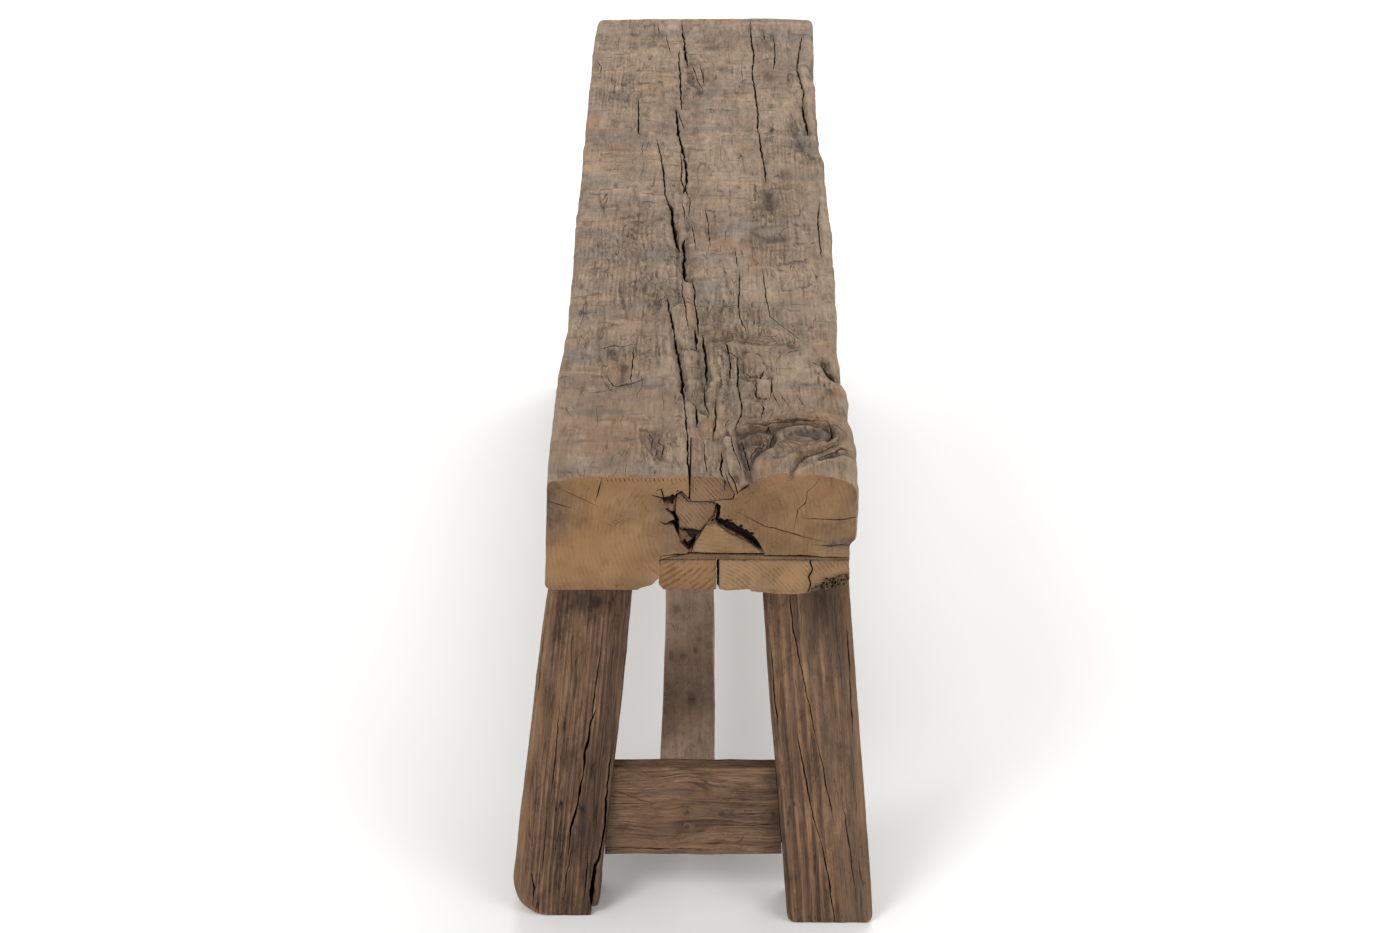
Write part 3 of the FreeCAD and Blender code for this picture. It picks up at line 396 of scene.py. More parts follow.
HOLLOW_OUTLINE = pairs(
    -17.4, 469, -15.4, 476.6, -10.4, 478.2, -6.8, 473.4, -3, 469.4, 20, 468.6, 24.4, 466.4, 25.6, 460.2,
    24.6, 452.9, 31.2, 450, 38.7, 445.2, 47.6, 442.2, 54.6, 437, 60.4, 430.2, 68.8, 416.6, 66, 411, -6, 411,
    -3.4, 418.6, -11.4, 428.8, -13.6, 440.2, -14.6, 449.4, -18, 456.9,
)
LEFT_PATCH_OUTLINE = pairs(
    -30, 408.9, 22.3, 409.2, 22.3, 379.7, -27.2, 379.4, -31.6, 384.8, -31.6, 391.5,
)
RIGHT_PATCH_OUTLINE = pairs(
    25.3, 409.2, 146.8, 409, 147.6, 388.6, 144.1, 382.9, 126.4, 379.5, 107.5, 378.2, 78.1, 378.2,
    55.1, 378.6, 53.8, 380.4, 32, 378.6, 25.3, 379.7,
)
ROT_OUTLINE = pairs(
    108, 370, 112, 380.5, 119, 384, 126, 391, 134, 390.5, 141, 395.5, 147, 394.5, 156, 392, 156, 370,
)
ROT_BAND = pairs(
    23, 466, 26.4, 464.8, 26, 456, 24.6, 450.6, 28.7, 450.5, 40.4, 445.2, 48.2, 440.6, 54.1, 437.2, 60, 431,
    63.9, 423, 69, 415.8, 61.9, 420.6, 54.1, 426.6, 44.3, 432.6, 34.6, 438.4, 23.8, 445.6, 20.5, 449.4,
    23, 457,
)
HEART_CHIPS = (
    pairs(-29.5, 472.2, -19.2, 472, -13.4, 474.4, -16.6, 470.2, -18.2, 465.2, -22, 467.4, -26.4, 466.8),
    pairs(-23.4, 460, -14.6, 458, -12.6, 449.6, -14.6, 439.2, -17.6, 444.4, -24.2, 447.4, -16.6, 450.4,
          -19.2, 456),
    pairs(-11.4, 441.2, 9, 438.4, 2.2, 429.6, -2.6, 431.8, -6.6, 437),
    pairs(-10, 429.6, -4.6, 427.6, 0.2, 430.6, 2.2, 427.6, -2.2, 421.2, -6.6, 423.4),
)
# The beam's lower right corner is broken away towards the near end.
CORNER_LOSS = pairs(
    147.4, 400, 147.2, 412, 147.8, 424, 149.4, 427.4, 152.6, 429.6, 175, 431, 175, 400,
)
SLANTING_ROT = pairs(
    19, 467, 25, 465, 25.6, 454, 33, 451, 41, 447, 49, 443.4, 56, 437.6, 61, 430, 67, 419, 50, 428.6,
    34.4, 437, 22, 446.6, 17, 449, 21, 458,
)
HEART_ROT = pairs(
    -27, 474, -20, 480, -12, 480, -6, 473.4, -12, 468, -15, 455, -11, 443, 2, 441, 12, 443, 2, 428, -2, 419,
    -9, 426, -15, 440, -21, 452, -24, 464,
)
NOTCH_OUTLINE = pairs(
    -58, 370, -50, 380, -38.2, 384.2, -31, 391.6, -20, 370,
)

# Splits in the near legs: leg, width and depth in millimetres, then the way in pixels on its outer face.
LEG_SPLITS = rows_with_ways(
    3,
    ("near_left", 6, 30, 594, 862, 592.5, 885, 590.5, 912),
    ("near_left", 2.8, 26, 596.4, 708, 590.8, 724, 588.3, 739, 584.6, 754, 583.3, 776),
    ("near_left", 2.6, 26, 583.6, 768, 579.6, 796, 574.6, 814, 570.9, 829, 568, 855),
    ("near_left", 2.2, 24, 611, 752, 607, 794, 604.5, 829, 599.5, 856, 593.3, 873, 592, 906),
    ("near_left", 1.6, 8, 602, 640, 598, 672, 594, 700, 591, 722),
    ("near_left", 1.8, 10, 572, 850, 567, 872, 565, 896),
    ("near_left", 2.2, 9, 531, 872, 534, 890, 533, 908),
    ("near_left", 1.4, 6, 545, 625, 541, 660, 537, 700),
    ("near_left", 1.4, 6, 560, 700, 556, 750, 550, 800),
    ("near_left", 1.3, 6, 548, 800, 545, 840, 541, 880),
    ("near_left", 1.4, 7, 588, 850, 586, 880, 583, 912),
    ("near_right", 1.3, 20, 788.6, 588, 793.5, 630, 802, 674, 810, 709, 816, 739),
    ("near_right", 1.2, 16, 816, 739, 821, 759, 828, 794, 835, 828),
    ("near_right", 1.4, 20, 796.4, 730, 803.5, 769, 807, 786, 813, 816, 821, 844),
    ("near_right", 1.5, 22, 820.4, 840, 828, 876, 836, 930),
    ("near_right", 1.4, 7, 770, 640, 774, 690, 779, 740),
    ("near_right", 1.3, 6, 846, 620, 850, 680, 853, 740),
    ("near_right", 1.3, 6, 842, 800, 850, 850, 857, 905),
)


def sight(pixel):
    """The direction in which the camera sees a pixel of the photograph."""
    dip, turn = math.radians(CAMERA_DIP), math.radians(CAMERA_TURN)
    forward = np.array((-math.cos(dip) * math.cos(turn), -math.cos(dip) * math.sin(turn), -math.sin(dip)))
    right = np.array((-math.sin(turn), math.cos(turn), 0.0))
    down = np.cross(forward, right)
    focal = CAMERA_LENS / SENSOR_WIDTH * PHOTO_WIDTH
    across = (pixel[0] - PHOTO_WIDTH / 2) / focal
    below = (pixel[1] - PHOTO_HEIGHT / 2) / focal
    return forward + right * across + down * below


def on_plane(pixels, place, facing):
    """Points in millimetres where the sight of each pixel meets a plane."""
    start = np.array(CAMERA_PLACE) / MM
    place, facing = np.array(place, float), np.array(facing, float)
    rays = np.array([sight(pixel) for pixel in pixels])
    reach = ((place - start) @ facing) / (rays @ facing)
    return start + rays * reach[:, None]


# The height under a pixel is found by looking again this many times.
LIFT_ROUNDS = 3


def on_seat(pixels, lift=None):
    """Points on the seat's top for pixels of the photograph; lift gives its height over the flat plane."""
    points = on_plane(pixels, (0, 0, SEAT_TOP), (0, 0, 1))
    for _ in range(LIFT_ROUNDS if lift else 0):
        heights = SEAT_TOP + lift(points[:, 0], points[:, 1])
        sights = [on_plane([pixel], (0, 0, up), (0, 0, 1)) for pixel, up in zip(pixels, heights)]
        points = np.concatenate(sights)
    return points


def on_end(pixels):
    """Points on the beam's near end for pixels of the photograph."""
    return on_plane(pixels, (NEAR_END, 0, 0), (1, 0, 0))


# Steady noise, the same on every run

def scatter(i, j, k, seed):
    """A steady number from 0 to 1 for each point of a lattice."""
    mixed = (i * 374761393 + j * 668265263 + k * 1440662683 + seed * 1274126177) & 0xFFFFFFFF
    mixed = ((mixed ^ (mixed >> 13)) * 1103515245) & 0xFFFFFFFF
    mixed = ((mixed ^ (mixed >> 15)) * 668265263) & 0xFFFFFFFF
    return ((mixed ^ (mixed >> 16)) & 0xFFFFFF) / float(0xFFFFFF)


# The lattice of the noise is turned, so that it doesn't show along a timber's sides.
NOISE_TURN = ((0.64, -0.48, 0.6), (0.6, 0.8, 0.0), (-0.48, 0.36, 0.8))


def noise(x, y, z=0.0, seed=0):
    """Smooth noise from -1 to 1, with one swell for each unit."""
    flat = np.broadcast_arrays(*(np.asarray(value, float) for value in (x, y, z)))
    place = [sum(share * value for share, value in zip(row, flat)) for row in NOISE_TURN]
    cell = [np.floor(value).astype(np.int64) for value in place]
    ease = [(value - low) ** 2 * (3 - 2 * (value - low)) for value, low in zip(place, cell)]
    total = np.zeros(place[0].shape)
    for corner in range(8):
        steps = [(corner >> axis) & 1 for axis in range(3)]
        weight = np.ones(place[0].shape)
        for step, share in zip(steps, ease):
            weight = weight * (share if step else 1 - share)
        total += weight * scatter(*(low + step for low, step in zip(cell, steps)), seed)
    return total * 2 - 1


def layered(x, y, z=0.0, seed=0, layers=3):
    """Noise with finer and weaker noise laid over it."""
    return sum(noise(x * 2**n, y * 2**n, np.asarray(z) * 2**n, seed + n) * 0.5**n for n in range(layers))


def scallops(x, y, length, width, seed):
    """Shallow hollows with crisp ridges between them, as an adze leaves them."""
    row, column = np.floor(x / length).astype(np.int64), np.floor(y / width).astype(np.int64)
    lowest = np.full(np.shape(x), 9.0)
    for step in np.ndindex(3, 3):
        i, j = row + step[0] - 1, column + step[1] - 1
        along = x / length - i - 0.15 - 0.7 * scatter(i, j, 0, seed)
        across = y / width - j - 0.15 - 0.7 * scatter(i, j, 1, seed)
        lowest = np.minimum(lowest, 1.7 * along**2 + across**2 + 0.3 * scatter(i, j, 2, seed))
    return lowest


def smooth_step(value, low, high):
    """0 below low, 1 above high and a smooth rise between them."""
    share = np.clip((value - low) / (high - low), 0, 1)
    return share * share * (3 - 2 * share)


def spot(x, y, cx, cy, run, width):
    """1 at a place, falling off smoothly over a half length and a half width."""
    return np.exp(-(((x - cx) / run) ** 2) - ((y - cy) / width) ** 2)


def distance_to_way(x, y, way):
    """Distance of points on a plane from a line of straight stretches."""
    nearest = np.full(np.shape(x), 1e9)
    for (x0, y0), (x1, y1) in zip(way[:-1], way[1:]):
        dx, dy = x1 - x0, y1 - y0
        share = np.clip(((x - x0) * dx + (y - y0) * dy) / (dx * dx + dy * dy + 1e-9), 0, 1)
        nearest = np.minimum(nearest, np.hypot(x - x0 - share * dx, y - y0 - share * dy))
    return nearest


# Meshes

def add_object(name, data):
    """Put a new object into the scene."""
    made = bpy.data.objects.new(name, data)
    bpy.context.scene.collection.objects.link(made)
    return made


def new_piece(name, points, faces):
    """Make an object from points in millimetres, with its faces turned outwards."""
    mesh = bpy.data.meshes.new(name)
    mesh.from_pydata((np.asarray(points) * MM).tolist(), [], faces)
    work = bmesh.new()
    work.from_mesh(mesh)
    bmesh.ops.recalc_face_normals(work, faces=work.faces)
    work.to_mesh(mesh)
    work.free()
    return add_object(name, mesh)


def tube_faces(count, columns):
    """Numbers of the points in a tube of rings, the same turned by one, and the faces between the rings."""
    index = np.arange(count * columns).reshape(count, columns)
    turned = np.roll(index, -1, axis=1)
    quads = np.stack((index[:-1], turned[:-1], turned[1:], index[1:]), axis=-1).reshape(-1, 4)
    return index.tolist(), turned.tolist(), quads.tolist()


def tube(name, rings):
    """A closed mesh through rings of points, with one flat face on each end."""
    rings = np.asarray(rings)
    index, _, quads = tube_faces(*rings.shape[:2])
    return new_piece(name, rings.reshape(-1, 3), quads + [index[0], index[-1]])


# Sizes of the rings that fill an end, as shares of its outline, and how far it is dented
CAP_SHARES = (0.985, 0.95, 0.9, 0.83, 0.75, 0.66, 0.57, 0.48, 0.39, 0.3, 0.21, 0.12)
BLOCK_SHARES = (0.96, 0.86, 0.72, 0.54, 0.34, 0.16)
END_DENT = 0.25


def lofted(name, rings, shares=CAP_SHARES):
    """A closed mesh through rings of points, each end filled by shrinking and slightly uneven rings."""
    rings = np.asarray(rings, float)
    caps, tips = [], []
    for ring, inner in ((rings[0], rings[1]), (rings[-1], rings[-2])):
        middle = ring.mean(axis=0)
        outward = middle - inner.mean(axis=0)
        outward /= np.linalg.norm(outward)
        levels = np.array([middle + (ring - middle) * share for share in shares])
        dent = END_DENT * (1 + noise(*(levels[..., axis] / 8 for axis in range(3)), 9))
        caps.append(levels - outward * dent[..., None])
        tips.append(middle - outward * END_DENT)
    stack = np.concatenate((caps[0][::-1], rings, caps[1]))
    count, columns = stack.shape[:2]
    points = np.concatenate((stack.reshape(-1, 3), tips))
    index, turned, quads = tube_faces(count, columns)
    start = [(count * columns, b, a) for a, b in zip(index[0], turned[0])]
    end = [(count * columns + 1, a, b) for a, b in zip(index[-1], turned[-1])]
    return new_piece(name, points, quads + start + end)


# Outward direction and run of the top, right, bottom and left sides of a timber
SIDE_FACINGS = np.array(((0, 1), (1, 0), (0, -1), (-1, 0)), float)
SIDE_WAYS = np.array(((1, 0), (0, -1), (-1, 0), (0, 1)), float)


def rounded_rings(low, high, radii, counts, arc_points):
    """Rings of a rounded rectangle for each station, clockwise from the top left.

    low and high are (stations, 2) corners, radii (stations, 4) for the arrises at the end of the top,
    right, bottom and left sides. Returns the points and each column's outward direction.
    """
    corners = np.stack((
        np.stack((low[:, 0], high[:, 1]), axis=1),
        high,
        np.stack((high[:, 0], low[:, 1]), axis=1),
        low,
    ))
    columns, facings = [], []
    for side in range(4):
        way, facing = SIDE_WAYS[side], SIDE_FACINGS[side]
        start = corners[side] + way * radii[:, (side - 1) % 4, None]
        corner = corners[(side + 1) % 4]
        radius = radii[:, side, None]
        end = corner - way * radius
        for share in np.linspace(0, 1, counts[side]):
            columns.append(start + (end - start) * share)
            facings.append(facing)
        for angle in np.linspace(0, math.pi / 2, arc_points + 2)[1:-1]:
            outward = math.cos(angle) * facing + math.sin(angle) * way
            columns.append(end - facing * radius + outward * radius)
            facings.append(outward)
    return np.stack(columns, axis=1), np.array(facings)


def uneven_arris(radius, spread, along, seed):
    """Radius of each of the four arrises at each station."""
    return radius * np.column_stack([1.0 + spread * noise(along, n, 0, seed + n) for n in range(4)])


def spaced(start, end, first_step, last_step):
    """Places from start to end whose spacing changes steadily from the first step to the last."""
    count = max(2, int(round(abs(end - start) * 2 / (first_step + last_step))))
    share = np.arange(count + 1) / count
    bend = (last_step - first_step) / (last_step + first_step)
    return start + (end - start) * (share + bend * (share * share - share))


def resampled(way, step, closed=False):
    """The same way with points at most one step apart."""
    way = np.asarray(way, float)
    ends = np.concatenate((way, way[:1])) if closed else way
    points = []
    for a, b in zip(ends[:-1], ends[1:]):
        count = max(1, int(math.ceil(np.linalg.norm(b - a) / step)))
        points.extend(a + (b - a) * n / count for n in range(count))
    if not closed:
        points.append(ends[-1])
    return np.array(points)


# How splits are cut, in millimetres: step along the way, height over the surface and length of a point
SPLIT_STEP = 3.0
SPLIT_OVERRUN = 7.0
SPLIT_TAPER = 26.0
# A split of the seat's top is this much wider where it runs across the bench.
TORN_ACROSS = 2.2
# Corners of a split's section: shares of its half width, of its depth, of the overrun and of its lean
SPLIT_PROFILE = ((-1, 0, 1, 0), (1, 0, 1, 0), (0.86, 0.2, 0, 0), (0, 1, 0, 1), (-0.86, 0.2, 0, 0))


def split_cutter(way, facing, width, depth, seed, torn=0.0):
    """A thin ragged wedge along a way on a surface, to be cut out of the piece.

    torn widens it where it runs across the length of the bench.
    """
    way = resampled(way, SPLIT_STEP)
    facing = np.asarray(facing, float) / np.linalg.norm(facing)
    run = np.gradient(way, axis=0)
    side = np.cross(run, facing)
    side /= np.linalg.norm(side, axis=1)[:, None] + 1e-9
    gone = np.concatenate(((0,), np.cumsum(np.linalg.norm(np.diff(way, axis=0), axis=1))))
    taper = np.clip(np.minimum(gone, gone[-1] - gone) / min(SPLIT_TAPER, gone[-1] * 0.45), 0, 1) ** 0.7
    ragged = 1 + 0.55 * noise(gone / 11, seed, 0, 5) + 0.4 * noise(gone / 4, seed, 3, 8)
    wide = 1 + torn * side[:, 0] ** 2
    half = wide * width * (0.07 + 0.43 * taper * np.clip(ragged, 0.25, 2))
    deep = depth * (0.2 + 0.8 * taper)
    wander = 0.35 * width * noise(gone / 12, seed, 1, 6) + 0.5 * noise(gone / 4.5, seed, 4, 8)
    middle = way + side * (wander * wide)[:, None]
    lean = 0.25 * depth * noise(gone / 60, seed, 2, 7)
    corners = []
    for across, down, over, swing in SPLIT_PROFILE:
        offset = side * (half * across + lean * swing)[:, None]
        corners.append(middle + (offset + facing * (over * SPLIT_OVERRUN - deep * down)[:, None]))
    return tube("split", np.stack(corners, axis=1))


def splits_on(table, place, facing, seed):
    """Cutters for the splits of a table, whose pixels are seen on one plane."""
    return [split_cutter(on_plane(pixels, place, facing), facing, width, depth, seed + number)
            for number, (width, depth, pixels) in enumerate(table)]


PIT_CORNERS = 5
PIT_OVERRUN = 6.0
# So many places are tried for each pit.
PIT_TRIES = 6


def rotten_pits(outline, count, radius, depths, seed):
    """Pointed pits, crowded inside an outline (across, up) on the near end, as rot leaves them."""
    ring = np.array(outline, float)
    low, high = ring.min(axis=0), ring.max(axis=0)
    pits = []
    for number in range(count * PIT_TRIES):
        chance = [float(scatter(number, n, 0, seed)) for n in range(8)]
        place = low + (high - low) * chance[:2]
        if inside_share(place[:1], place[1:], ring, 0.1)[0] < 0.5:
            continue
        reach = radius * (0.45 + 0.8 * chance[2])
        depth = depths[0] + (depths[1] - depths[0]) * chance[3] ** 1.5
        turns = (np.arange(PIT_CORNERS) + chance[4]) * (math.tau / PIT_CORNERS)
        corners = place + reach * np.column_stack((np.cos(turns), (0.6 + 0.5 * chance[5]) * np.sin(turns)))
        tip = place + reach * (np.array(chance[6:8]) - 0.5)
        rings = []
        for x, size, lean in ((-PIT_OVERRUN, 1.0, 0.0), (depth * 0.35, 0.9, 0.3), (depth, 0.25, 1.0)):
            section = tip * lean + place * (1 - lean) + (corners - place) * size
            rings.append(np.column_stack((np.full(PIT_CORNERS, NEAR_END - x), section)))
        pits.append(tube("pit", rings))
        if len(pits) == count:
            break
    return pits


# Points closer than this, in metres, are one.
WELD_REACH = 1e-6
# A block's ends are eased by this much over this length, in millimetres.
END_EASE = 0.5
END_STATION = 1.2


def hewn_block(name, outline, start, end, rough, seed, step=3.0, run_step=6.0, follow=None, grow=0.0,
               filled=False):
    """A closed block with one outline (across, up) along X and roughened sides.

    follow, where it is given, moves the ring of one station, and grow swells the whole outline. A
    filled block has points all over its ends.
    """
    ring = resampled(outline, step, closed=True)
    ahead, behind = np.roll(ring, -1, axis=0), np.roll(ring, 1, axis=0)
    run = ahead - behind
    outward = np.stack((run[:, 1], -run[:, 0]), axis=1)
    outward /= np.linalg.norm(outward, axis=1)[:, None] + 1e-9
    turn = np.sum(ring[:, 0] * np.roll(ring[:, 1], -1) - np.roll(ring[:, 0], -1) * ring[:, 1])
    outward *= 1 if turn > 0 else -1
    between = np.linspace(start + END_STATION, end - END_STATION, max(2, int((end - start) / run_step)))
    stations = np.concatenate(((start,), between, (end,)))
    rings = []
    for x in stations:
        swell = grow + rough * layered(x / 22, ring[:, 0] / 5, ring[:, 1] / 5, seed)
        swell = swell - (END_EASE if x in (start, end) else 0.0) * min(1.0, rough * 2)
        place = ring + outward * swell[:, None]
        if follow is not None:
            place = follow(x, place)
        rings.append(np.column_stack((np.full(len(ring), x), place)))
    return lofted(name, rings, BLOCK_SHARES) if filled else tube(name, rings)


def box_block(name, low, high):
    """A plain closed box in millimetres, to be cut out or added."""
    ends = (low, high)
    points = [(ends[i][0], ends[j][1], ends[k][2]) for i, j, k in np.ndindex(2, 2, 2)]
    faces = [(0, 1, 3, 2), (4, 6, 7, 5), (0, 4, 5, 1), (2, 3, 7, 6), (0, 2, 6, 4), (1, 5, 7, 3)]
    return new_piece(name, points, faces)


def welded(mesh):
    """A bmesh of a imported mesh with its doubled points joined."""
    work = bmesh.new()
    work.from_mesh(mesh)
    bmesh.ops.remove_doubles(work, verts=work.verts, dist=WELD_REACH)
    return work


def node_copy(node):
    """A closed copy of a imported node's mesh, to be cut out of a piece."""
    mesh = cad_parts[node].data
    copy = add_object(node + "_copy", mesh.copy())
    work = welded(mesh)
    work.to_mesh(copy.data)
    work.free()
    return copy


def islands_of(work):
    """The separate shells of a bmesh, each as the list of its vertices."""
    work.verts.ensure_lookup_table()
    seen, found = set(), []
    for first in work.verts:
        if first.index in seen:
            continue
        seen.add(first.index)
        island, open_ends = [], [first]
        while open_ends:
            vertex = open_ends.pop()
            island.append(vertex)
            for edge in vertex.link_edges:
                other = edge.other_vert(vertex)
                if other.index not in seen:
                    seen.add(other.index)
                    open_ends.append(other)
        found.append(island)
    return found


def drop_crumbs(mesh):
    """Keep only the largest shell of a mesh, without the loose crumbs that cuts leave."""
    work = bmesh.new()
    work.from_mesh(mesh)
    shells = sorted(islands_of(work), key=len)
    for crumb in shells[:-1]:
        bmesh.ops.delete(work, geom=crumb, context="VERTS")
    if len(shells) > 1:
        work.to_mesh(mesh)
    work.free()


def shape_with(piece, others, operation="DIFFERENCE"):
    """Cut the other blocks out of a piece, or join them to it, and remove them."""
    if not others:
        return
    group = bpy.data.collections.new("blocks")
    bpy.context.scene.collection.children.link(group)
    for other in others:
        group.objects.link(other)
    modifier = piece.modifiers.new("shape", "BOOLEAN")
    modifier.operation = operation
    modifier.operand_type = "COLLECTION"
    modifier.solver = "MANIFOLD"
    modifier.collection = group
    shown = piece.evaluated_get(bpy.context.evaluated_depsgraph_get())
    result = bpy.data.meshes.new_from_object(shown)
    piece.modifiers.clear()
    drop_crumbs(result)
    before, name = piece.data, piece.data.name
    piece.data = result
    bpy.data.meshes.remove(before)
    result.name = name
    for other in others:
        mesh = other.data
        bpy.data.objects.remove(other)
        bpy.data.meshes.remove(mesh)
    bpy.data.collections.remove(group)
    if len(result.vertices) == 0:
        raise RuntimeError(f"nothing is left of {piece.name} after shaping it")


def skin_of(piece):
    """The uncut surface of a piece, for measuring how deep a cut goes."""
    mesh = piece.data
    return BVHTree.FromPolygons([v.co for v in mesh.vertices], [p.vertices for p in mesh.polygons])


LAYER_FIELDS = {"FLOAT": "value", "FLOAT_VECTOR": "vector", "FLOAT_COLOR": "color"}


def add_layer(mesh, name, kind, values, domain="POINT"):
    """Store one value for each point or face of a mesh."""
    layer = mesh.attributes.new(name, kind, domain)
    layer.data.foreach_set(LAYER_FIELDS[kind], np.ascontiguousarray(values, np.float32).ravel())


# Cuts are painted darker with depth as painted shade: it starts at the first depth and is full at the second,
# in millimetres.
CUT_SHADE_FROM = 0.9
CUT_SHADE_FULL = 7.0
SHARP_ANGLE = 38.0
# How often the ground is smoothed to find its hollows, and the depth of a full one in millimetres
HOLLOW_PASSES = 7
HOLLOW_FULL = 2.4
# How torn a timber is where its stain doesn't say
USUALLY_TORN = 0.35
# A face turns from side to end grain over this much of its direction.
END_TURN = 0.25


def hollowness(mesh, points):
    """0.5 on even ground, towards 1 in hollows and towards 0 on ridges and arrises."""
    ends = read_all(mesh.edges, "vertices", 2, np.int32)
    first, second = ends.T
    count = np.maximum(1, np.bincount(ends.ravel(), minlength=len(points)))
    smooth = points.copy()
    for _ in range(HOLLOW_PASSES):
        totals = [np.bincount(first, smooth[second, axis], len(points))
                  + np.bincount(second, smooth[first, axis], len(points)) for axis in range(3)]
        smooth = 0.4 * smooth + 0.6 * np.stack(totals, axis=1) / count[:, None]
    lift = np.sum((smooth - points) * read_all(mesh.vertices, "normal", 3), axis=1)
    return np.clip(0.5 + lift / HOLLOW_FULL, 0, 1)


def finish_timber(piece, material, grain, stain, skin=None, run=(1, 0, 0), ends_from=0.5, sawn=None):
    """Give a timber its shading, the layers that its material reads, and the material.

    grain turns points into grain coordinates, stain gives each point its dark, warm and cool shares,
    skin is its surface before it was cut, from which cuts get painted shade by depth, and run is the
    direction of its length. sawn, where it is given, says how much each point belongs to a sawn end.
    """
    mesh = piece.data
    points = mesh_points(mesh)
    add_layer(mesh, "grain", "FLOAT_VECTOR", grain(points) * MM)
    given = np.clip(stain(points), 0, 1)
    shares = np.full((len(points), 4), USUALLY_TORN)
    shares[:, :given.shape[1]] = given
    add_layer(mesh, "stain", "FLOAT_COLOR", shares)
    # The hollow layer lets the material paint shade into hollows and a highlight onto ridges and arrises.
    add_layer(mesh, "hollow", "FLOAT", hollowness(mesh, points))
    depth = np.zeros(len(points))
    if skin is not None:
        depth = np.array([skin.find_nearest(vertex.co)[3] for vertex in mesh.vertices]) / MM
    # The deep layer is painted shade inside cuts, darker with depth.
    add_layer(mesh, "deep", "FLOAT", smooth_step(depth, CUT_SHADE_FROM, CUT_SHADE_FULL))
    along = np.abs(read_all(mesh.polygons, "normal", 3) @ (np.asarray(run, float) / np.linalg.norm(run)))
    if sawn is None:
        add_layer(mesh, "ends", "FLOAT", smooth_step(along, ends_from, ends_from + END_TURN), "FACE")
    else:
        add_layer(mesh, "ends", "FLOAT", sawn(points))
    mesh.materials.clear()
    mesh.materials.append(material)
    mesh.shade_smooth()
    mesh.set_sharp_from_angle(angle=math.radians(SHARP_ANGLE))


def dress(piece, slot, *nodes):
    """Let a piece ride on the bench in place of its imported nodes."""
    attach(piece, "root")
    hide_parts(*nodes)


# Materials

class Wires:
    """A short way to add and join the nodes of one tree."""

    def __init__(self, tree):
        self.tree = tree

    def node(self, kind, inputs=(), **settings):
        """Add a node; an input is a value or another node's output."""
        made = self.tree.nodes.new(kind)
        for key, value in settings.items():
            setattr(made, key, value)
        for key, value in dict(inputs).items():
            if isinstance(value, bpy.types.NodeSocket):
                self.tree.links.new(value, made.inputs[key])
            else:
                made.inputs[key].default_value = value
        return made


class Graph(Wires):
    """Short ways to add and join the nodes of one material."""

    def __init__(self, name):
        self.material = bpy.data.materials.new(name)
        self.material.use_nodes = True
        super().__init__(self.material.node_tree)
        self.tree.nodes.clear()

    def layer(self, name, output):
        """One of the layers that a timber stores."""
        return self.node("ShaderNodeAttribute", attribute_name=name).outputs[output]

    def scaled(self, vector, scale, shift=(0, 0, 0)):
        inputs = {"Vector": vector, "Scale": scale, "Location": shift}
        return self.node("ShaderNodeMapping", inputs).outputs[0]

    def noise(self, vector, scale, detail=3.0, rough=0.55, distort=0.0, shift=(0, 0, 0)):
        """Noise with as many swells in a metre as scale says, for each direction."""
        inputs = {"Vector": self.scaled(vector, scale, shift), "Scale": 1.0, "Detail": detail,
                  "Roughness": rough, "Distortion": distort}
        return self.node("ShaderNodeTexNoise", inputs).outputs[0]

    def calc(self, operation, first, second=0.0, clamp=False):
        inputs = {0: first, 1: second}
        return self.node("ShaderNodeMath", inputs, operation=operation, use_clamp=clamp).outputs[0]

    def times(self, first, *factors, clamp=False):
        """The product of several values."""
        for factor in factors:
            first = self.calc("MULTIPLY", first, factor, clamp)
        return first

    def fade(self, value, low, high, to_low=0.0, to_high=1.0):
        """A smooth change from one value to another as a third one rises from low to high."""
        inputs = {"Value": value, "From Min": low, "From Max": high, "To Min": to_low, "To Max": to_high}
        return self.node("ShaderNodeMapRange", inputs, interpolation_type="SMOOTHSTEP").outputs[0]

    def lines(self, value, width):
        """Thin lines where a noise crosses its middle."""
        return self.fade(self.calc("ABSOLUTE", self.calc("SUBTRACT", value, 0.5)), width, 0.0)

    def mix(self, share, first, second, mode="MIX"):
        """A share of the second colour over the first."""
        inputs = {0: share, 6: first, 7: second}
        return self.node("ShaderNodeMix", inputs, data_type="RGBA", blend_type=mode).outputs[2]

    def grey(self, value):
        return self.node("ShaderNodeCombineColor", {0: value, 1: value, 2: value}).outputs[0]

    def finish(self, colour, roughness, height, bump, bump_reach, gloss, metallic=0.0):
        """Close the material with one shader and its fine relief."""
        bumped = self.node("ShaderNodeBump", {"Strength": bump, "Distance": bump_reach, "Height": height})
        shader = self.node("ShaderNodeBsdfPrincipled", {
            "Base Color": colour, "Roughness": roughness, "Normal": bumped.outputs[0],
            "Specular IOR Level": gloss, "Metallic": metallic,
        })
        self.tree.nodes.active = self.node("ShaderNodeOutputMaterial", {"Surface": shader.outputs[0]})
        return self.material


def tone(red, green, blue):
    """A colour for shaders from the red, green and blue of a screen, 0 to 255."""
    linear = []
    for value in (red, green, blue):
        share = value / 255
        linear.append(share / 12.92 if share <= 0.04045 else ((share + 0.055) / 1.055) ** 2.4)
    return (*linear, 1.0)


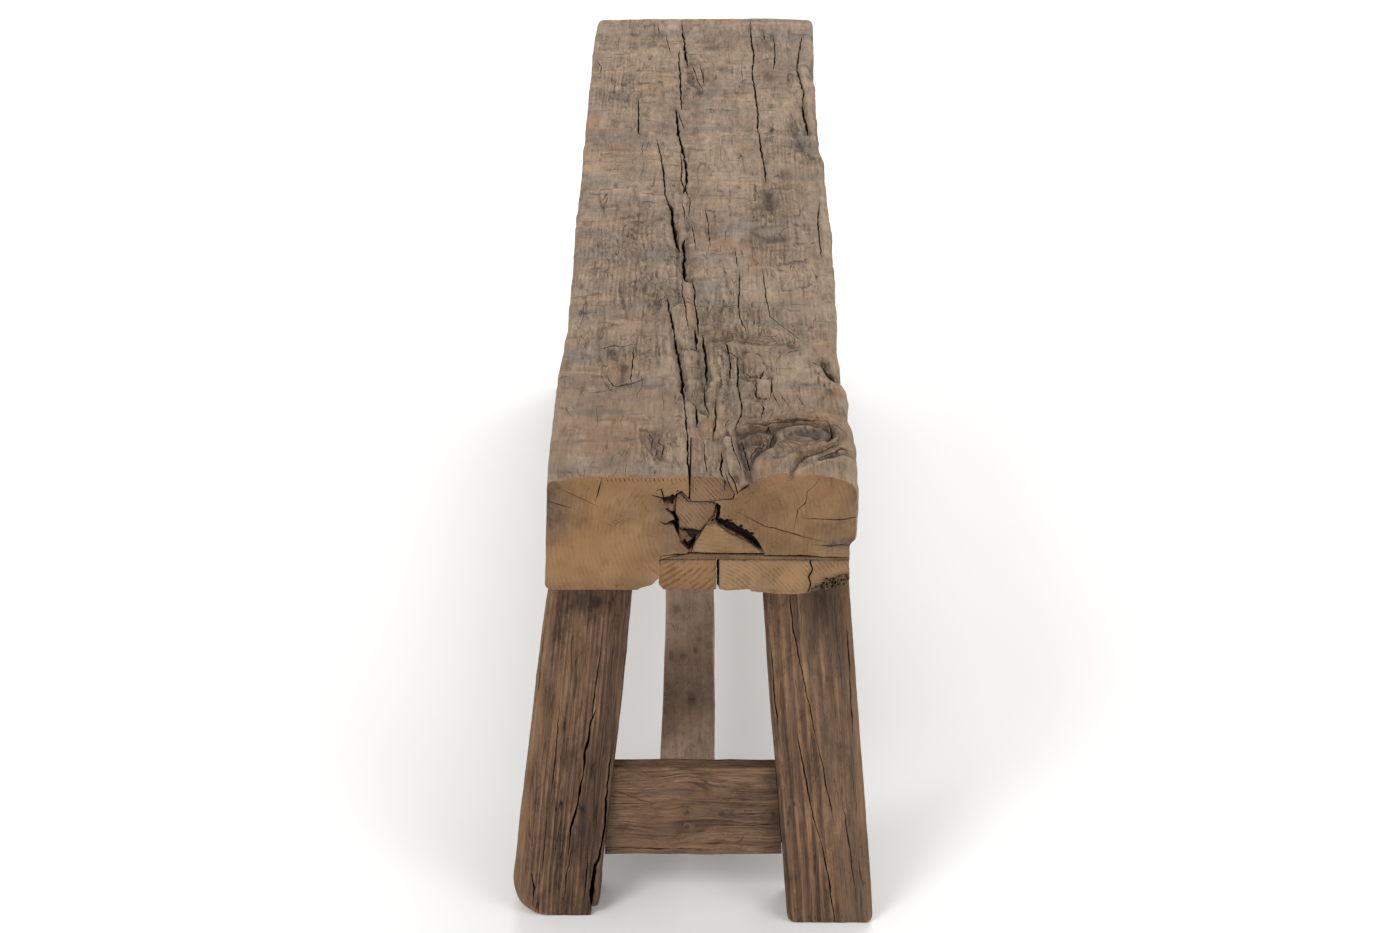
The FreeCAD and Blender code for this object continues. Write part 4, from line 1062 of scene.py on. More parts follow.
def aged_wood(name, look):
    """Weathered wood: fibres, dirt, fine splits and growth rings that follow the grain layer."""
    graph = Graph(name)
    calc, times, fade, mix, noise_at = graph.calc, graph.times, graph.fade, graph.mix, graph.noise
    grain = graph.layer("grain", "Vector")
    ends, deep, hollow = (graph.layer(layer, "Fac") for layer in ("ends", "deep", "hollow"))
    torn = graph.layer("stain", "Alpha")
    stain = graph.node("ShaderNodeSeparateColor", {0: graph.layer("stain", "Color")})
    dark, warm, cool = stain.outputs

    broad = noise_at(grain, (5, 17, 17), 3, 0.55)
    bands = noise_at(grain, (look["band_run"], 7, 7), 4, 0.6, 0.6, (1, 0, 5))
    cloud = noise_at(grain, (21, 42, 42), 4, 0.6, 0.3, (3.1, 0, 0))
    mottle = noise_at(grain, (60, 105, 105), 4, 0.65, 0.8, (0, 3, 3))
    fibre = noise_at(grain, (look["fibre_run"], look["fibre"], look["fibre"]), 6, 0.66, 0.25)
    fine = noise_at(grain, (look["fibre_run"] * 4, look["fibre"] * 3.6, look["fibre"] * 3.6), 4, 0.65, 0.3)
    worn = noise_at(grain, (14, 75, 75), 4, 0.62, 0.25, (0, 1.7, 0))
    smudge = noise_at(grain, (look["smudge_run"], 27, 27), 4, 0.65, 0.9, (0.4, 0, 2))
    fleck = noise_at(grain, (30, 250, 250), 3, 0.55, 0.3, (7, 0, 0))
    hair = graph.lines(noise_at(grain, (look["hair_run"], 62, 62), 2, 0.5, 0.35, (0, 5, 0)), 0.012)
    hair = times(hair, fade(worn, 0.48, 0.58))
    flake = noise_at(grain, (32, 125, 125), 3, 0.55, 1.5, (2, 0, 6))
    # Painted shadow along one side of each flake's edge, as if the flake stood up.
    flake_shadow = times(fade(flake, 0.45, 0.5), fade(flake, 0.506, 0.5), times(fade(cloud, 0.36, 0.54), torn))

    apart = graph.node("ShaderNodeSeparateXYZ", {0: grain})
    flat = graph.node("ShaderNodeCombineXYZ", {1: apart.outputs[1], 2: apart.outputs[2]}).outputs[0]
    radius = graph.node("ShaderNodeVectorMath", {0: flat}, operation="LENGTH").outputs["Value"]
    waver = noise_at(grain, (2.6, 34, 34), 3, 0.6, 0.0, (0, 0, 9))
    turns = calc("ADD", calc("DIVIDE", radius, look["ring_gap"]), times(waver, look["ring_waver"]))
    part = calc("FRACT", turns)
    rings = times(fade(part, 0.25, 0.88), fade(part, 1.0, 0.9))

    colour = mix(fade(broad, 0.38, 0.62), look["pale"], look["mid"])
    colour = mix(fade(bands, 0.52, 0.66, 0.0, look["bands"]), colour, look["cool"])
    colour = mix(fade(bands, 0.46, 0.34, 0.0, look["bands"]), colour, look["tan"])
    colour = mix(fade(cloud, 0.5, 0.76, 0.0, look["cloud"]), colour, look["deep"])
    colour = mix(fade(worn, 0.3, 0.44, look["glow"], 0.0), colour, look["light"])
    figure = calc("ADD", times(torn, look["torn_figure"]), look["figure"])
    figure = times(figure, fade(cool, 0.1, 0.6, 1.0, look["cool_figure"]))
    colour = mix(times(rings, figure), colour, look["deep"])
    pale_rings = times(fade(part, 0.6, 0.1), times(figure, 0.8))
    colour = mix(pale_rings, colour, look["light"])
    streak = fade(fibre, 0.3, 0.72, 1.0 + look["streak"] * 0.5, 1.0 - look["streak"])
    streak = times(streak, fade(fine, 0.3, 0.7, 1.0 + look["streak"] * 0.4, 1.0 - look["streak"] * 0.5))
    lively = fade(worn, 0.36, 0.6, look["calm"], 1.2)
    streak = calc("ADD", times(calc("SUBTRACT", streak, 1.0), lively), 1.0)
    streak = times(streak, fade(mottle, 0.32, 0.68, 1.1, 0.86))
    colour = mix(1.0, colour, graph.grey(streak), "MULTIPLY")
    smudged = fade(smudge, 0.55, 0.7, 0.0, look["smudge"])
    flecked = times(fade(fleck, 0.57, 0.68, 0.0, look["fleck"]), calc("ADD", torn, 0.35))
    marks = calc("MAXIMUM", smudged, flecked)
    colour = mix(calc("MINIMUM", marks, 1.0), colour, look["dirt"])
    lines = calc("MAXIMUM", times(hair, look["hair"]), flake_shadow)
    colour = mix(lines, colour, look["crack"])

    across = graph.scaled(grain, (0.0, 1.0, 1.0))
    pores = noise_at(across, (0, 1500, 1500), 2, 0.6)
    shade = noise_at(across, (0, 24, 24), 4, 0.55, 0.3)
    patch = noise_at(across, (0, 60, 60), 4, 0.6, 0.4, (0, 3, 0))
    end_colour = mix(fade(shade, 0.36, 0.64), look["end_pale"], look["end_mid"])
    end_colour = mix(fade(patch, 0.54, 0.72, 0.0, 0.45), end_colour, look["end_line"])
    shown = times(rings, fade(patch, 0.42, 0.56, look["end_rings"] * 0.15, look["end_rings"]))
    end_colour = mix(shown, end_colour, look["end_line"])
    end_colour = mix(1.0, end_colour, graph.grey(fade(pores, 0.3, 0.7, 1.07, 0.9)), "MULTIPLY")
    saw = noise_at(across, (0, 700, 26), 3, 0.55, 0.0, (0, 0, 4))
    end_colour = mix(1.0, end_colour, graph.grey(fade(saw, 0.3, 0.7, 1.05, 0.93)), "MULTIPLY")
    checks = graph.lines(noise_at(across, (0, 30, 30), 3, 0.6, 0.8, (0, 8, 2)), 0.004)
    checks = times(checks, fade(shade, 0.5, 0.6, 0.0, 0.5))
    end_colour = mix(checks, end_colour, look["crack"])

    colour = mix(ends, colour, end_colour)
    colour = mix(times(warm, 0.55), colour, look["warm"])
    colour = mix(times(cool, 0.6), colour, look["cool"])
    skin = calc("SUBTRACT", 1.0, ends)
    # Ridges and arrises are painted lighter: rubbed wear and a painted highlight.
    colour = mix(times(fade(hollow, 0.42, 0.12, 0.0, look["edge_wear_and_highlight"]), skin), colour, look["light"])
    speckle = fade(mottle, 0.3, 0.62, 1.2, 0.65)
    # The dark share of the stain layer is dirt, and in places painted shade.
    dirty = times(dark, times(fade(fibre, 0.2, 0.6, 1.2, 0.75), speckle))
    colour = mix(times(dirty, 0.9, clamp=True), colour, look["dirt"])
    # Painted shade: hollows are darkened with the dirt colour.
    sunk = times(fade(hollow, 0.52, 0.8, 0.0, look["hollow_shade"]), times(speckle, skin), clamp=True)
    colour = mix(sunk, colour, look["dirt"])
    # Painted shade inside cuts, darker with depth.
    colour = mix(deep, colour, look["crack"])

    relief = times(fibre, times(calc("ADD", torn, 0.5), -1.0))
    for part_height, share in ((fine, -0.35), (mottle, -0.3), (lines, -0.5), (marks, -0.4)):
        relief = calc("ADD", relief, times(part_height, share))
    end_relief = calc("ADD", times(saw, 0.22), times(pores, -0.12))
    end_relief = calc("ADD", end_relief, times(checks, -0.5))
    height = graph.node("ShaderNodeMix", {0: ends, 2: relief, 3: end_relief}).outputs[0]
    roughness = fade(fibre, 0.2, 0.8, look["gloss_from"], look["gloss_to"])
    return graph.finish(colour, roughness, height, 1.0, look["bump"] * MM, 0.2)


# Finishes: tones, then numbers for the noise and shares for each mark. A run is along the grain, ring_gap
# is in metres and bump in millimetres.
SEAT_LOOK = dict(
    pale=tone(143, 123, 104), mid=tone(126, 106, 87), deep=tone(94, 75, 58), light=tone(167, 147, 123),
    dirt=tone(66, 51, 39), crack=tone(33, 24, 17), warm=tone(146, 104, 66), cool=tone(113, 104, 96),
    tan=tone(155, 129, 104), end_pale=tone(134, 106, 76), end_mid=tone(117, 90, 62),
    end_line=tone(90, 64, 41), fibre=210.0, fibre_run=22.0, calm=0.2, hair_run=9.0, smudge_run=75.0,
    band_run=26.0, bands=0.7, cloud=0.8, glow=0.45, figure=0.06, torn_figure=0.45, cool_figure=0.4,
    streak=0.21, smudge=0.6, fleck=1.0, hair=0.8, ring_gap=0.0042, ring_waver=1.6, end_rings=0.3,
    edge_wear_and_highlight=0.4, hollow_shade=0.9, bump=1.3, gloss_from=0.66, gloss_to=0.9,
)
LEG_LOOK = dict(
    SEAT_LOOK, pale=tone(110, 84, 66), mid=tone(91, 69, 54), deep=tone(60, 44, 35), light=tone(142, 111, 84),
    dirt=tone(46, 34, 26), crack=tone(22, 16, 12), warm=tone(146, 112, 80), cool=tone(98, 83, 70),
    tan=tone(132, 100, 74), end_pale=tone(104, 80, 62), end_mid=tone(84, 64, 50), end_line=tone(58, 44, 35),
    fibre=380.0, fibre_run=7.0, calm=0.8, hair_run=4.2, smudge_run=24.0, band_run=4.0, bands=0.3, cloud=0.8,
    glow=0.6, figure=0.3, torn_figure=0.1, streak=0.5, smudge=0.45, fleck=0.7, hair=1.0, ring_gap=0.0045,
    ring_waver=1.3, end_rings=0.4, edge_wear_and_highlight=0.35, hollow_shade=0.6, bump=1.3,
)
STRIPED_LOOK = dict(
    LEG_LOOK, figure=0.42, ring_gap=0.0088, ring_waver=0.35, cloud=0.5, light=tone(148, 116, 86), streak=0.4,
    cool_figure=0.1,
)
STRETCHER_LOOK = dict(
    LEG_LOOK, pale=tone(109, 84, 66), mid=tone(92, 70, 55), deep=tone(63, 47, 37), figure=0.16,
    ring_gap=0.007, ring_waver=3.0, streak=0.42, bump=1.0, smudge=0.75,
)
# The long stretcher's tones are painted lighter than the end stretchers', as painted light against the shade
# under the seat.
LIGHTENED_BOARD_LOOK = dict(
    STRETCHER_LOOK, pale=tone(166, 138, 116), mid=tone(146, 120, 99), deep=tone(116, 93, 76),
    light=tone(180, 152, 128), dirt=tone(66, 52, 42), cool=tone(136, 122, 110), tan=tone(168, 138, 112),
    figure=0.12, streak=0.14, smudge=0.2, fleck=0.2, hair=0.4, bump=0.5,
)
PATCH_LOOK = dict(
    SEAT_LOOK, end_pale=tone(131, 100, 69), end_mid=tone(115, 86, 58), end_line=tone(80, 52, 34),
    ring_gap=0.0052, ring_waver=1.3, end_rings=0.75, pale=tone(140, 114, 88), mid=tone(122, 96, 72),
    figure=0.3,
)
PALE_PATCH_LOOK = dict(
    PATCH_LOOK, end_rings=0.45, ring_gap=0.0036, end_pale=tone(137, 110, 80), end_mid=tone(123, 97, 69),
)
INLAY_LOOK = dict(
    SEAT_LOOK, end_pale=tone(120, 95, 70), end_mid=tone(105, 81, 59), end_line=tone(72, 52, 37),
    ring_gap=0.0034, ring_waver=0.9, end_rings=0.75, pale=tone(142, 118, 98), mid=tone(124, 101, 81),
)
PLUG_LOOK = dict(
    LEG_LOOK, end_pale=tone(108, 83, 65), end_mid=tone(86, 66, 51), ring_gap=0.0018, end_rings=0.7,
)
STRIP_LOOK = dict(SEAT_LOOK, end_pale=tone(124, 95, 66), end_mid=tone(102, 77, 53), end_rings=0.15)
HIDDEN_LOOK = dict(pale=tone(186, 160, 122), mid=tone(170, 142, 104))


# The seat beam

def hump_lift(x, y):
    """Height that the broad humps give the seat's top."""
    height = np.zeros(np.shape(x))
    for cx, cy, run, width, lift in HUMPS_ON_SEAT:
        height = height + lift * spot(x, y, cx, cy, run, width)
    return height


def stroke_lift(x, y):
    """Height that the humps and the raised and sunk strokes give the seat's top."""
    height = hump_lift(x, y)
    for lift, width, way in STROKES_ON_SEAT:
        height = height + local_share(x, y, way, 3 * width, lambda px, py: lift * np.exp(
            -((stretched_distance(px, py, way) / width) ** 2)))
    return height


def stretched_distance(x, y, way):
    """Distance from a way, counted shorter along the grain than across it."""
    return distance_to_way(x / STROKE_STRETCH, y, way / np.array((STROKE_STRETCH, 1.0)))


def local_share(x, y, way, reach, shape):
    """A shape worked out only near its way, and nothing elsewhere."""
    low, high = way.min(axis=0) - reach * STROKE_STRETCH, way.max(axis=0) + reach * STROKE_STRETCH
    near = (x > low[0]) & (x < high[0]) & (y > low[1]) & (y < high[1])
    share = np.zeros(np.shape(x))
    if near.any():
        share[near] = shape(x[near], y[near])
    return share


def ways_on_seat(table, before, lift):
    """Rows of a table with their pixels turned into (x, y) on the seat's top."""
    return [(*row[:before], on_seat(row[before], lift)[:, :2]) for row in table]


def places_on_seat(table, lift=None):
    """Rows of a table with the first two numbers, a pixel, turned into (x, y) on the seat's top."""
    return [(*on_seat([row[:2]], lift)[0, :2], *row[2:]) for row in table]


HUMPS_ON_SEAT = places_on_seat(SEAT_HUMPS)
STROKES_ON_SEAT = ways_on_seat(SEAT_STROKES, 2, hump_lift)
SPLITS_ON_SEAT = ways_on_seat(SEAT_SPLITS, 2, stroke_lift)
BLOCKS_ON_SEAT = ways_on_seat(SEAT_BLOCKS, 1, hump_lift)
ROUGH_ON_SEAT = places_on_seat(SEAT_ROUGH, hump_lift)
STAINS_ON_SEAT = places_on_seat(SEAT_STAINS, stroke_lift)
KNOTS_ON_SEAT = places_on_seat(SEAT_KNOTS, hump_lift)


def roughness_of_seat(x, y):
    """How torn the seat's top is at each place, from 0 to 1."""
    total = np.zeros(np.shape(x))
    for cx, cy, run, width, share in ROUGH_ON_SEAT:
        total = np.maximum(total, share * spot(x, y, cx, cy, run, width))
    return total


def inside_share(x, y, outline, ease, grown=0.0):
    """1 well inside an outline, which may be grown a little, 0 outside it and a short slope between."""
    ring = np.vstack((outline, outline[:1]))
    inside = np.zeros(np.shape(x), bool)
    for (x0, y0), (x1, y1) in zip(ring[:-1], ring[1:]):
        crosses = (y0 > y) != (y1 > y)
        inside ^= crosses & (x < (x1 - x0) * (y - y0) / (y1 - y0 + 1e-12) + x0)
    gone = distance_to_way(x, y, ring)
    return smooth_step(np.where(inside, gone, -gone) + grown, -ease, ease)


# Splits wider than this, in millimetres, have worn lips.
WORN_LIPS_FROM = 1.7
# Weathered grain of the top: length and width of a swell in millimetres, its least height as a share of
# the weathering, and what torn places add
SEAT_GRAIN = ((90, 9, 0.5, 1.3), (34, 5.5, 0.3, 1.5), (13, 6, 0.3, 1.1))
# The middle of an adze mark lies this far under its ridges, as a share of its depth.
ADZE_MIDDLE = 0.35


def seat_relief(x, y, sizes):
    """Height of the seat's top over its flat plane, in millimetres."""
    torn = roughness_of_seat(x, y)
    worn = sizes["weathering"]
    flow = y + round_knots(x, y)[1]
    height = 1.1 * layered(x / 240, y / 120, 0, 11, 2)
    adzed = scallops(x + 7 * noise(x / 30, y / 30, 0, 19), y, 58, 84, 12) - ADZE_MIDDLE
    height += sizes["adze_depth"] * 2.4 * adzed
    for number, (run, width, least, more) in enumerate(SEAT_GRAIN):
        height += worn * (least + more * torn) * noise(x / run, flow / width, 0, 13 + number)
    height += worn * 1.6 * np.minimum(0, layered(x / 26, y / 13, 0, 16, 2) + 0.3)
    height += stroke_lift(x, y)
    for width, _, way in SPLITS_ON_SEAT:
        if width > WORN_LIPS_FROM:
            height = height - local_share(x, y, way, 8, lambda px, py: 0.55 * width * np.exp(
                -((distance_to_way(px, py, way) / (1.6 + 0.7 * width)) ** 2)))
    ragged_x, ragged_y = x + 5 * noise(x / 7, y / 3, 0, 17), y + 1.3 * noise(x / 16, y / 6, 0, 18)
    for lift, way in BLOCKS_ON_SEAT:
        height = height + local_share(ragged_x, ragged_y, way, 6,
                                      lambda px, py: lift * inside_share(px, py, way, 1.2))
    return height


def side_relief(x, z, seed, sizes):
    """Swell of a hewn side, in millimetres."""
    swell = 1.2 * layered(x / 170, z / 60, 0, seed, 2)
    swell += sizes["adze_depth"] * 1.6 * (scallops(x, z, 70, 60, seed + 3) - ADZE_MIDDLE)
    return swell + sizes["weathering"] * 0.8 * noise(x / 60, z / 6, 0, seed + 5)


def seat_edge(pixels, x):
    """Y of one long edge of the seat's top at each x."""
    places = on_seat(pixels)
    order = np.argsort(places[:, 0])
    return np.interp(x, places[order, 0], places[order, 1])


# Rounding of the beam's near and far end, in millimetres
NEAR_ROUND = 3.0
FAR_ROUND = 7.0
# Gaps of the first stations from an end, in millimetres, and the places where their spacing changes
END_STATIONS = np.array((0.0, 0.5, 1.3, 2.4, 4.2))
STATION_STARTS = (-300, 250)


def end_inset(x):
    """How far a station draws in so that the beam's ends are eased."""
    inset = np.zeros(len(x))
    for gap, radius in ((NEAR_END - x, NEAR_ROUND), (x - FAR_END, FAR_ROUND)):
        reach = np.clip(radius - gap, 0, radius)
        inset += radius - np.sqrt(radius**2 - reach**2)
    return inset


def seat_stations():
    """Places along the beam, closest at the near end."""
    first, second = STATION_STARTS
    return np.concatenate((
        FAR_END + END_STATIONS * 1.6,
        spaced(FAR_END + 12, first, 7.6, 6.6)[:-1],
        spaced(first, second, 6.6, 4.6)[:-1],
        spaced(second, NEAR_END - 7, 4.6, 3.2),
        NEAR_END - END_STATIONS[::-1],
    ))


# Size, spread and length of a swell of the arrises, clockwise from the top right
SEAT_ARRISES = ((1.5, 0.7, 60), (1.0, 0.4, 90), (1.0, 0.4, 90), (1.2, 0.6, 50))
NEAR_RIGHT_ROUND = 9
SEAT_COLUMNS = (110, 15, 15, 15)
# How far the right side is drawn in and the left side leans out at the underside, in millimetres
RIGHT_UNDERCUT = 3.0
LEFT_SPREAD = 4.5


def build_seat_mesh(sizes):
    """The hewn beam before it is cut, as one closed mesh."""
    x = seat_stations()
    left = seat_edge(LEFT_EDGE, x) + 0.7 * noise(x / 16, 1, 0, 31)
    right = seat_edge(RIGHT_EDGE, x) + 0.9 * noise(x / 13, 2, 0, 32)
    inset = end_inset(x)
    low = np.column_stack((left + inset, np.full(len(x), UNDERSIDE) + inset))
    high = np.column_stack((right - inset, np.full(len(x), SEAT_TOP) - inset))
    radii = np.column_stack([
        sizes["arris"] * (size + spread * noise(x / run, 3 + number, 0, 33 + number))
        for number, (size, spread, run) in enumerate(SEAT_ARRISES)
    ])
    radii[:, 0] += NEAR_RIGHT_ROUND * smooth_step(x, 600, 820)
    rings, facings = rounded_rings(low, high, radii, SEAT_COLUMNS, 5)
    along = np.repeat(x[:, None], rings.shape[1], axis=1)
    y, z = rings[..., 0], rings[..., 1]
    up = np.clip(facings[:, 1], 0, 1)[None, :]
    right_way = np.clip(facings[:, 0], 0, 1)[None, :]
    left_way = np.clip(-facings[:, 0], 0, 1)[None, :]
    lower = np.clip((SEAT_TOP - z) / (SEAT_TOP - UNDERSIDE), 0, 1)
    flush = smooth_step(NEAR_END - along, -1, 8) * 0.8 + 0.2
    z = z + up * seat_relief(along, rings[..., 0], sizes)
    drawn_in = RIGHT_UNDERCUT * lower * smooth_step(along, 500, 700)
    y = y + right_way * (flush * side_relief(along, rings[..., 1], 41, sizes) - drawn_in)
    y = y - left_way * (flush * side_relief(along, rings[..., 1], 51, sizes) + LEFT_SPREAD * lower)
    return lofted("hewn_beam", np.stack((along, y, z), axis=-1))


def round_knots(x, y):
    """How far the grain of the seat's top is pushed along and across by the knots, in millimetres."""
    along, across = np.zeros(np.shape(x)), np.zeros(np.shape(x))
    for cx, cy, run, width in KNOTS_ON_SEAT:
        core = 0.55 * width
        dx, dy = (x - cx) * width / run, y - cy
        gone = np.hypot(dx, dy) + 1e-6
        push = (core / gone) ** 2 * np.exp(-(gone - core) / (1.6 * width))
        outside = gone > core
        across += np.where(outside, -dy * push, cy - y + gone - core)
        along += np.where(outside, (x - cx) * push, cx - x + 2 * core * np.arctan2(dy, dx))
    return along, across


# Middle of the growth rings on the near end, as (across, up) in millimetres
PITH = (4.0, 436.0)


def seat_grain(points):
    """Grain coordinates of the beam: its length, and the way round each knot."""
    x, y, z = points.T
    bent = y + 2.2 * noise(x / 150, y / 40, z / 60, 61) + 0.8 * noise(x / 40, y / 14, z / 30, 62)
    along, across = round_knots(x, y)
    top = smooth_step(z, 430, 480)
    return np.column_stack((x + along * top, bent + across * top - PITH[0], z - PITH[1]))


HALO_REACH = 14


def split_shade_halo(x, y):
    """Painted shade beside the splits of the seat's top."""
    dirt = np.zeros(len(x))
    for width, _, way in SPLITS_ON_SEAT:
        low, high = way.min(axis=0) - HALO_REACH, way.max(axis=0) + HALO_REACH
        near = (x > low[0]) & (x < high[0]) & (y > low[1]) & (y < high[1])
        if near.any():
            gone = stretched_distance(x[near], y[near], way) / (1.8 + width)
            dirt[near] = np.maximum(dirt[near], min(1.0, width / 3.4) * np.exp(-(gone**2)))
    return dirt * np.clip(0.95 + 0.6 * noise(x / 18, y / 5, 0, 72), 0.3, 1.4)


def seat_sawn(points):
    """How much each point of the beam belongs to its sawn ends, with a worn, uneven border."""
    x, y, z = points.T
    border = 1.8 + 1.4 * layered(y / 22, z / 22, 0, 78) + 0.8 * noise(y / 5, z / 5, 0, 79)
    border += 1.7 * noise(y / 2.6, 0, 0, 80) * (z > 480)
    inside = np.min((y - BEAM_LOW[1], BEAM_HIGH[1] - y, SEAT_TOP - z, z - UNDERSIDE), axis=0)
    border += 16 * smooth_step(inside, 6, 14)
    far = 1 - smooth_step(x - FAR_END, 2, 6)
    return np.maximum(smooth_step(x - NEAR_END, -border - 1.6, -border + 0.8), far)


# Stains on the near end, as on the seat's top, with half width and half height; the one at (856, 486) is a
# painted shadow, not a stain.
END_STAINS = (
    (549, 512, 9, 22, 0.8, 0, 0.5), (549, 486, 10, 7, 1.1, 0, 0.3), (566, 515, 9, 14, 0.35, 0.1, 0.1),
    (560, 500, 14, 4, 0.3), (562, 521, 12, 12, 0.45, 0, 0.2), (572, 489, 16, 8, 0.25, 0.2),
    (668, 516, 11, 20, 0.5, 0, 0.3), (664, 506, 8, 8, 0.5, 0, 0.2), (676, 545, 16, 9, 0.5, 0, 0.2),
    # (856, 486) on the next row is a painted shadow at the right edge of the near end.
    (856, 486, 7, 16, 0.8, 0, 0.1), (838, 477, 20, 4, 0.5), (836, 543.7, 12, 4, 1, 0, 0.9),
    (852, 541, 8, 6, 0.7, 0, 0.3), (838, 527, 18, 4, 0.4, 0, 0.1), (800, 517, 70, 42, 0.36),
    (836, 544, 9, 2.4, 1.2, 0, 0.6), (700, 490, 60, 10, 0.16), (770, 545, 40, 8, 0.2),
    (735, 540, 24, 12, 0.2, 0.2), (580, 540, 24, 30, 0.12, 0.3), (598, 512, 12, 26, 0, 0.4),
    (820, 497, 30, 14, 0.15, 0.5), (735, 516, 22, 10, 0.25, 0.2), (652, 556, 24, 10, 0.3, 0.3),
    (600, 560, 50, 20, 0, 0.5), (640, 586, 30, 6, 0.35, 0.1), (562, 586, 22, 4, 0.35, 0.1),
    (545, 500, 4, 14, 0.8, 0, 0.2), (610, 478, 40, 4, 0, 0.5), (744, 520, 10, 3, 0.3),
    (700, 560, 60, 3, 0.2, 0.1),
)
STAINS_ON_END = [(*on_end([row[:2]])[0, 1:], *row[2:]) for row in END_STAINS]


# Rot shows dark no deeper than this behind the near end.
ROT_DEPTH = 40


def seat_stain(points):
    """Dark, warm and cool shares at each point of the beam."""
    x, y, z = points.T
    shares = np.zeros((len(points), 3))
    top = smooth_step(z, 472, 484)
    ragged = 1 + 0.75 * layered(x / 14, y / 9, z / 9, 71)
    for cx, cy, run, width, *amounts in STAINS_ON_SEAT:
        reach = spot(x, y, cx, cy, run, width) * top * np.clip(ragged, 0.1, 2)
        shares[:, :len(amounts)] += reach[:, None] * np.array(amounts)
    # Sunk strokes are painted darker, as shade in their valleys; raised ones are warmer.
    for lift, width, way in STROKES_ON_SEAT:
        share = local_share(x, y, way, 3 * width, lambda px, py: np.exp(
            -((stretched_distance(px, py, way) / width) ** 2))) * top * np.clip(ragged, 0.4, 1.6)
        shares[:, 0] += share * min(0.75, max(0.0, -lift - 2.0) * 0.24)
        shares[:, 1] += share * min(0.4, max(0.0, lift) * 0.12)
    # Painted shade beside the splits.
    shares[:, 0] = np.maximum(shares[:, 0], 0.9 * split_shade_halo(x, y) * top)
    end = smooth_step(x, NEAR_END - 3, NEAR_END - 0.9)
    for cy, cz, width, tall, *amounts in STAINS_ON_END:
        shares[:, :len(amounts)] += (spot(y, z, cy, cz, width, tall) * end)[:, None] * np.array(amounts)
    sunk = smooth_step(NEAR_END - x, 0.8, 2.2) * (x > NEAR_END - ROT_DEPTH)
    for outline, amount in ((SLANTING_ROT, 1.3), (HEART_ROT, 0.7)):
        shares[:, 0] += amount * sunk * inside_share(y, z, np.array(outline), 1.5, 1.6)
    sides = (1 - top) * (1 - end) * (1 - sunk)
    shares[:, 0] += sides * (0.22 + 0.2 * layered(x / 60, y / 40, z / 12, 74))
    shares[:, 2] += sides * 0.15
    torn = np.where(top > 0.5, roughness_of_seat(x, y), 0.45) * (1 - end)
    return np.column_stack((shares, torn))


# In millimetres: how far cuts run past the near end, a glued joint's gap, the play of the filler and the
# wedge in their pockets, and how far a mortise reaches under the seat and over its tenon
PAST_END = 10
JOINT_GAP = 0.2
POCKET_PLAY = 0.8
MORTISE_UNDER = 40
MORTISE_OVER = 0.5
# Pits of the two rotten places: outline, number, radius, depths, seed
SEAT_PITS = ((SLANTING_ROT, 50, 1.8, (4, 12), 501), (HEART_ROT, 24, 2.2, (1.5, 6), 601))
# Width, depth and lean of a short saw mark in millimetres and pixels, and its first and last row
KERF_WIDTH = 0.9
KERF_DEPTH = 2.0
KERF_LEAN = 2.2
KERF_ROWS = (477.0, 482.0)


def split_on_seat(way, width, depth, sizes, number, torn=0.0):
    """Cutter for a split that follows the relief of the seat's top."""
    height = SEAT_TOP + seat_relief(way[:, 0], way[:, 1], sizes)
    return split_cutter(np.column_stack((way, height)), (0, 0, 1), width, depth, number, torn)


